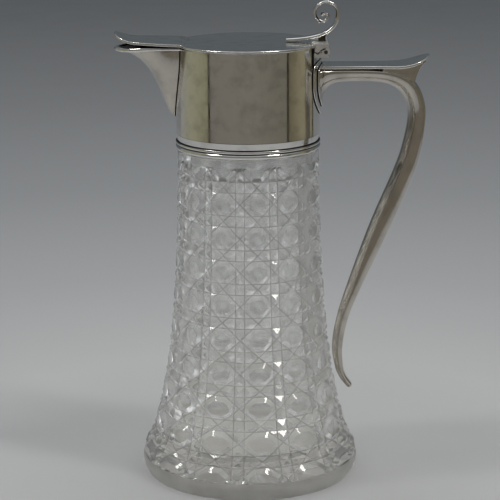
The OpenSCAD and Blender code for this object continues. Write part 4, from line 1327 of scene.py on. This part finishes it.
def plate(outline, middle, thickness, edge, rings, put):
    """Rings (u, v, w): the outline drawn in by an inset, or shrunk towards the middle, at height w."""
    outline, middle = np.asarray(outline, float), np.asarray(middle, float)
    inset, level = round_edges(thickness, edge, 6)
    rim = outline + inset[:, None, None] * units(middle - outline)
    share = np.linspace(0, 1, rings + 1)[1:, None, None]
    face = middle + (rim[0] - middle) * (1 - share) + 1e-6 * outline
    flat = np.concatenate([face[::-1], rim, face])
    height = np.concatenate([np.zeros(rings), level, np.full(rings, thickness)])[:, None]
    return ring_grid(put(flat[..., 0], flat[..., 1], height + 0 * flat[..., 0]))


# %% [markdown]
# The lid is flat over the band, and its tongue covers the spout. It steps up a little at the wire's ends,
# climbs with the wire and sweeps up at the tip, where the wine runs out under it. The outline is a radius
# for each angle, the circle or the tongue, whichever reaches further. Past its rounded tip, the tongue's
# radius falls steadily, so the angle where it meets the circle can be read off.

# %% Lid
tongue_tip = collar_r + spout_reach - 0.4
tongue_round = 8
tongue_half, tongue_root_half = 13.5, 18
step_start = on_cylinder(collar_r, spout_width / 2) - 3.2
step_length = 3.6
tongue_rise = 1.9
step_height = tongue_rise - edge_fall
sweep_x = tongue_tip - 1.5 * tongue_round
sweep_height = 4.2


def tongue_lift(x):
    """Height of the lid's underside over its flat part, x towards the spout: a small half cosine step, an
    even climb along the wire, and a parabola at the tip."""
    step = (1 - np.cos(np.pi * np.clip((x - step_start) / step_length, 0, 1))) / 2
    climb = np.clip((x - step_start) / (sweep_x - step_start), 0, 1)
    sweep = np.maximum(0, (x - sweep_x) / (tongue_tip - sweep_x)) ** 2
    return step_height * step + edge_fall * climb + sweep_height * sweep


quarter = quarter_turn(30)
past_tip = slice(20, None)
tongue_x = np.concatenate([tongue_tip - tongue_round + tongue_round * np.cos(quarter), [step_start - 1]])
tongue_y = np.concatenate([tongue_half * np.sin(quarter), [tongue_root_half]])
tongue_angle = np.arctan2(tongue_y, tongue_x)
tongue_r = np.hypot(tongue_x, tongue_y)
join_angle = np.interp(0, (lid_r - tongue_r)[past_tip], tongue_angle[past_tip])
tongue_sweep = join_angle * np.sin(np.linspace(0, np.pi / 2, 40))
lid_angle = np.concatenate([tongue_sweep, np.linspace(join_angle, np.pi, 90)[1:]])
lid_angle = np.concatenate([-lid_angle[:0:-1], lid_angle[:-1]])
lid_reach = np.maximum(np.interp(np.abs(lid_angle), tongue_angle, tongue_r, right=0), lid_r)
lid_outline = np.stack([-lid_reach * np.cos(lid_angle), lid_reach * np.sin(lid_angle)], -1)


def put_lid(u, v, w):
    return np.stack([u, v, lid_z + w + tongue_lift(-u)], -1)


def faces_under_tongue(middle, normal):
    return (normal[:, 2] < -0.5) & (middle[:, 0] < -collar_r + 10)


lid_form = plate(lid_outline, (0, 0), lid_thickness, 0.45, 40, put_lid)
lid = add_piece("flat_lid", [lid_form], silver_flat, "lid", "lid_plate")
tarnish(lid, faces_under_tongue)

# %% [markdown]
# Behind the handle lie two shields, one on the other, nearly square above and elliptical below. They are
# flat plates that are wrapped round the band, which turns a side distance into a turn about the axis.

# %% Saddle plates
saddle_thickness = 0.8
saddle_half_width = 19
saddle_low, saddle_high = box_of("saddle_lower")
saddle_height = saddle_high[2] - saddle_low[2]
saddle_up = 0.38 * saddle_height
saddle_z = saddle_high[2] - saddle_up
upper_inset = 4


def shield(half_width, up, down):
    """Outline of a shield about its middle: a superellipse of power 0.44 above, an ellipse below."""
    a = np.radians(np.arange(0, 360, 3))
    above = a <= np.pi
    bulge = np.where(above, 0.44, 1)
    height = np.where(above, up, down)
    return np.stack([half_width * power(np.cos(a), bulge), height * power(np.sin(a), bulge)], -1)


def add_saddle(node, inset, inner_r):
    """A shield at this radius, with black at the foot of its edge, where it meets what it lies on: painted
    shade in the gap, with some oxide.
    """

    def put(u, v, w):
        return np.stack([on_cylinder(inner_r + w, u), u, saddle_z + v], -1)

    # Painted shade, with some oxide, in the gap at the foot of the shield's edge.
    def foot_shade_and_oxide(x, y, z):
        return near(from_axis(x, y), inner_r, 0.6)

    outline = shield(saddle_half_width - inset, saddle_up - 0.6 * inset, saddle_height - saddle_up - inset)
    finish = make_silver("silver of " + node, 0.02, (1, 1, 9), 0.08, foot_shade_and_oxide)
    form = plate(outline, (0, 0), saddle_thickness, 0.35, 10, put)
    add_piece(node + "_shield", [form], finish, "jug", node)


add_saddle("saddle_lower", 0, collar_r + film)
add_saddle("saddle_upper", upper_inset, collar_r + 2 * film + saddle_thickness)

# %% [markdown]
# ## The handle
#
# The handle is a hollow casting, held only at its top, with a free lower end that tapers away. Its shape
# is a section carried along a curve, where the thickness and the width change on the way. A Blender curve
# with a bevel object keeps one section all along, so the rings are worked out here. The curve goes through a
# few stations by a spline of third power. A station gives its place out from the glass and down, and its
# thickness and width, all as shares of the handle's sizes.

# %% Route of the handle
arm_z = rim_z - 11
handle_reach, handle_length = 57.6, 184.4
handle_width, handle_depth = 21, 7.8
top_plate_seat = 1.5
plate_z = arm_z - top_plate_seat
saddle_face_r = collar_r + 2 * (saddle_thickness + film)
stations = np.array([
    [-0.02, 0, 1, 1], [0.28, 0, 1, 1], [0.53, 0.002, 1, 0.98],
    [0.7, 0.013, 1.09, 0.94], [0.83, 0.04, 1.24, 0.9], [0.9, 0.084, 1.24, 0.87],
    [0.915, 0.14, 1.23, 0.84], [0.866, 0.234, 1.33, 0.8], [0.78, 0.317, 1.38, 0.77],
    [0.55, 0.483, 1.36, 0.7], [0.268, 0.682, 0.94, 0.57], [0.148, 0.775, 0.8, 0.5],
    [0.074, 0.861, 0.76, 0.44], [0.062, 0.928, 0.6, 0.37], [0.08, 0.963, 0.48, 0.33],
    [0.124, 0.991, 0.43, 0.3],
])
station_z = (plate_z - handle_depth / 2) * (1 - stations[:, 1]) + (arm_z - handle_length) * stations[:, 1]
station_x = np.maximum(glass_r(station_z), collar_r) + handle_reach * stations[:, 0]
knots = np.stack([station_x, station_z, handle_depth * stations[:, 2], handle_width * stations[:, 3]], -1)


def spline(knots, steps):
    """Curve through the knots: on each stretch, half of 2b + (c-a)t + (2a-5b+4c-d)t^2 + (3b-a-3c+d)t^3."""
    padded = np.concatenate([knots[:1], knots, knots[-1:]])
    a, b, c, d = (padded[i:len(padded) - 3 + i, None] for i in range(4))
    t = (np.arange(steps) / steps)[None, :, None]
    curve = 2 * b + (c - a) * t + (2 * a - 5 * b + 4 * c - d) * t**2 + (3 * b - a - 3 * c + d) * t**3
    return np.concatenate([0.5 * curve.reshape(-1, knots.shape[1]), knots[-1:]])


spline_steps = 10
route = spline(knots, spline_steps)
route_run = along_path(route[:, :2])
route_out = np.stack([-route_run[:, 1], route_run[:, 0]], -1)
print("route", round(np.linalg.norm(np.diff(route[:, :2], axis=0), axis=1).sum()), "mm long")

# %% [markdown]
# The section is flat-topped outside and half an ellipse inside. Near the collar it flares down into the
# shield, more and more the closer it gets. The free end is closed by a few last rings, drawn in as the
# latitudes of a ball are. What would reach into the shields is pushed out to their face.

# %% Handle tube


def handle_sections(shrink, at, sides=72):
    """Rings of the tube at the chosen points of the route. Outside, both directions are a power 0.6 of the
    circle's sine and cosine. The flare is an exponential of the distance to the collar."""
    p, n = route[at], route_out[at]
    near_top = at < len(route) / 2
    root = np.exp((collar_r - p[:, 0]) / 3.2) * near_top
    depth = (p[:, 2] * shrink)[:, None]
    width = ((p[:, 3] + 6 * np.minimum(root, 1)) * shrink)[:, None]
    flare = (11.5 * np.minimum(root, 1.1))[:, None]
    a = whole_turn(sides)[None, :]
    top = np.sin(a) > 0
    y = width / 2 * power(np.cos(a), np.where(top, 0.6, 1))
    v = depth * 0.25 + np.where(top, depth * 0.25 * power(np.sin(a), 0.6), (depth * 0.75 + flare) * np.sin(a))
    x = p[:, :1] + v * n[:, :1]
    z = p[:, 1:2] + v * n[:, 1:]
    return np.stack([x, y, z], -1)


all_points = np.arange(len(route))
tube = handle_sections(1, all_points)
end_angles = np.radians([20, 40, 57, 72, 84])
end_way = np.array([route_run[-1, 0], 0, route_run[-1, 1]])
end_way = end_way * route[-1, 2] / 2
closing = [handle_sections(math.cos(a), all_points[-1:]) + math.sin(a) * end_way for a in end_angles]
tube = np.concatenate([tube, *closing])
beside_collar = tube[..., 2] > rim_z - 60
pushed_out = np.maximum(tube[..., 0], on_cylinder(saddle_face_r, tube[..., 1]))
tube[..., 0] = np.where(beside_collar, pushed_out, tube[..., 0])
add_piece("hollow_handle", [ring_grid(tube)], silver_handle, "jug", "handle_tube", crease=60)

# %% [markdown]
# A flat plate lies on the arm and is drawn out into a thumb rest, which sweeps up at its end. It is a
# plate as the others are. Its outline is straight along the arm, widens to the thumb rest and ends in half
# an ellipse.

# %% Top plate with the thumb rest
thumb_tip = box_of("handle_top_plate")[1][0]
thumb_rise = box_of("handle_top_plate")[1][2] - arm_z
thumb_half, arm_half = 13, 10.5
top_thickness = top_plate_seat - film
sweep_start = 0.7 * handle_reach + collar_r
widen_start = sweep_start - 12
round_start = thumb_tip - 0.8 * thumb_half


def plate_rise(x):
    """Rise of the plate: nothing up to the sweep, then a parabola."""
    return thumb_rise * np.maximum(0, (x - sweep_start) / (thumb_tip - sweep_start)) ** 2


quarter = quarter_turn(24)
arm_end = on_cylinder(saddle_face_r, arm_half)
inner_y = np.linspace(arm_half, 0, 8)[1:]
half_plan = np.concatenate([
    np.stack([round_start + (thumb_tip - round_start) * np.cos(quarter), thumb_half * np.sin(quarter)], -1),
    np.linspace((round_start, thumb_half), (widen_start, arm_half), 10)[1:],
    np.linspace((widen_start, arm_half), (arm_end, arm_half), 14)[1:],
    np.stack([on_cylinder(saddle_face_r, inner_y), inner_y], -1),
])
plan = np.concatenate([half_plan, half_plan[-2:0:-1] * [1, -1]])


def put_top_plate(u, v, w):
    """The plate sweeps up, its underside a little more, so that it gets thinner towards the tip."""
    thin = 1 + 0.4 / thumb_rise * (1 - w / top_thickness)
    return np.stack([u, v, plate_z + film + w + plate_rise(u) * thin], -1)


top_form = plate(plan, (72, 0), top_thickness, 0.5, 14, put_top_plate)
add_piece("thumb_rest_plate", [top_form], silver_flat, "jug", "handle_top_plate")

# %% [markdown]
# Under the thumb rest, a wedge fills the bend. It is an outline in the jug's middle plane, carried
# sideways, and drawn in a little at both ends so that its edges are rounded. It sits a little inside the
# outside line of the tube, from just past the third station of its route to the fifth.

# %% Wedge under the thumb rest


def carry(outline, half_width, edge=0.5):
    """An outline in (x, z) carried along y. Near both ends it is drawn in along its own normals."""
    p = np.asarray(outline, float)
    run = units(np.roll(p, -1, 0) - np.roll(p, 1, 0))
    area = np.sum(p[:, 0] * np.roll(p[:, 1], -1) - np.roll(p[:, 0], -1) * p[:, 1])
    inward = np.stack([-run[:, 1], run[:, 0]], -1) * np.sign(area)
    inset, level = round_edges(2 * half_width, edge, 5)
    flat = p + inset[:, None, None] * inward
    y = level[:, None] - half_width + 0 * flat[..., 0]
    return ring_grid(np.stack([flat[..., 0], y, flat[..., 1]], -1))


seat_first, seat_last = 2 * spline_steps + 2, 4 * spline_steps
seat_drop = 0.8
outer_line = route[:, :2] + route[:, 2:3] / 2 * route_out
seat = (outer_line - seat_drop * route_out)[seat_first:seat_last + 1]
top_x = np.linspace(seat[0, 0] + 1, thumb_tip - 2.5, 12)
top_line = np.stack([top_x, plate_z + 0.1 + plate_rise(top_x)], -1)
low, high = seat[-1], top_line[-1]
blunt = high - [0.5, 0.8]
hollow = bezier([blunt, high - [3.5, 2.5], low + [0.2, 2.5], low], np.linspace(0, 1, 12)[:-1])
web = np.concatenate([top_line, hollow, seat[::-1]])
add_piece("bend_wedge", [carry(web, 0.47 * handle_width, 0.2)], silver_handle, "jug", "thumb_rest_web")

# %% [markdown]
# ## The scroll
#
# A strap is soldered to the hinge, turns up and rolls inwards into a scroll, with a ball in its eye. A
# spiral whose radius falls evenly would look like a spring, so the scroll is two circles, an outer turn and
# a small one in the eye, and the strap goes over from one to the other in a smooth step.

# %% Line of the scroll
pin_low, pin_high = box_of("hinge_pin")
pin_x = (pin_low[0] + pin_high[0]) / 2
pin_z = (pin_low[2] + pin_high[2]) / 2
scroll_radius, scroll_eye, scroll_turn = 6.3, 1.45, 500
scroll_centre = np.array([pin_x + 0.75, lid_top + 15.2])
eye_centre = scroll_centre - [0.45, 1.4]
roll_start, roll_end = 165, 320
strap_thickness, strap_width, strap_length = 2, 7, 20.9
strap_curve = [
    [pin_x - strap_length, lid_top + strap_thickness / 2 + film],
    [pin_x - 4, lid_top + strap_thickness / 2 + 0.7],
    [scroll_centre[0] + scroll_radius, lid_top + 4.4],
    scroll_centre + [scroll_radius, 0],
]


def scroll_point(turn, rise=0.0):
    """Point of the scroll: centre and radius go over from the outer turn to the small one in the eye, by
    a smooth step between two angles."""
    t = np.clip((np.asarray(turn, float) - roll_start) / (roll_end - roll_start), 0, 1)[..., None]
    rolled = t * t * (3 - 2 * t)
    around_it = np.stack([np.cos(np.radians(turn)), np.sin(np.radians(turn))], -1)
    centre = scroll_centre + (eye_centre - scroll_centre) * rolled
    return centre + (scroll_radius + (scroll_eye - scroll_radius) * rolled + rise) * around_it


turn = np.linspace(0, scroll_turn, 130)
strap_path = np.concatenate([bezier(strap_curve, np.linspace(0, 1, 42)[:-1]), scroll_point(turn)])
strap_run = along_path(strap_path)
print("strap", round(np.linalg.norm(np.diff(strap_path, axis=0), axis=1).sum(), 1), "mm long")

# %% [markdown]
# The strap is a rounded bar, carried along that line, and gets thinner and narrower on the way. A ball sits
# in the eye, and a small bud on the outside of the roll. The inner side of the outer turn holds some black.

# %% Scroll
curve_share = 12 / 44
share = np.concatenate([
    np.linspace(0, curve_share, 42)[:-1], curve_share + (1 - curve_share) * turn / scroll_turn
])[:, None]
thick = strap_thickness * (1 - 0.4 * share) / 2
wide = strap_width * (1 - 0.3 * share) / 2
a = whole_turn(40)[None, :]
across = wide * power(np.cos(a), 0.35)
through = thick * power(np.sin(a), 0.75)
strap = np.stack([
    strap_path[:, :1] - strap_run[:, 1:] * through,
    across,
    strap_path[:, 1:] + strap_run[:, :1] * through,
], -1)


# A black line along the inner side of the outer turn.
def scroll_inner_black(x, y, z):
    from_centre = from_axis(x - scroll_centre[0] * MM, z - scroll_centre[1] * MM)
    return near(from_centre, scroll_radius - 0.45 * strap_thickness, 0.45)


def ball(centre, radius, rings=18, sides=28):
    """Rings of latitude round a centre in the middle plane."""
    latitude = np.linspace(-np.pi / 2, np.pi / 2, rings)[:, None]
    points = round_axis(radius * np.cos(latitude), radius * np.sin(latitude), whole_turn(sides))
    return grid_of(points + [centre[0], 0, centre[1]])


ball_r, bud_r, bud_turn = 1.3, 0.78, 228
bud = ball(scroll_point(bud_turn, strap_thickness / 2), bud_r)
scroll_parts = [ring_grid(strap), ball(strap_path[-1], ball_r), bud]
scroll_silver = make_silver("silver of the scroll", 0.0, (1, 5, 1), 0.08, scroll_inner_black)
add_piece("rolled_scroll", scroll_parts, scroll_silver, "lid", "thumb_scroll", crease=50)

# %% [markdown]
# ## Finish of the pieces that stay
#
# The small turned and cut parts are right as the imported model has them. They only get their finish, on
# their own material slots. The thumb riser gets the tarnished silver as painted shade, for the dark block
# between the strap and the leaf. On the end of the hinge, leaf and bracket meet in a wavy joint, which shows
# as
# a black line. The finish draws it: its height over the pin is a ramp of the way along.

# %% Kept nodes
joint_line = [(0.05, 0.55), (0.2, 0.42), (0.325, 0.25), (0.43, 0.42), (0.525, 0.725), (0.8, 0.925)]
joint_start, joint_length, joint_rise = -7, 8, 4
joint_end = 0.85


def hinge_oxide(x, y, z):
    """Black round the pin, and in the joint line. The ramp's 0.5 is the pin's own height, and its 0 and 1
    are half the joint's rise below and above it."""
    along = (x - (pin_x + joint_start) * MM) / (joint_length * MM)
    line = along.ramp([(place, (level,) * 3 + (1.0,)) for place, level in joint_line])
    over_line = z - pin_z * MM - (line - 0.5) * (joint_rise * MM)
    joint = near(over_line, 0, 0.36) * (along < joint_end)
    return near(from_axis(x - pin_x * MM, z - pin_z * MM), 0, 1.2).either(joint)


hinge_silver = make_silver("silver of the hinge", 0.0, (1, 1, 1), 0.33, hinge_oxide)
kept = {
    "mount_plaster": plaster, "lip_ring": silver, "hinge_bracket": hinge_silver, "hinge_pin": black_oxide,
    # The thumb riser's tarnished silver is painted shade.
    "lid_bezel": silver, "hinge_leaf": hinge_silver, "thumb_riser": tarnished_and_shaded_silver,
}
for node, finish in kept.items():
    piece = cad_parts[node]
    piece.data.materials.clear()
    piece.data.materials.append(finish)
print("kept", sorted(kept))
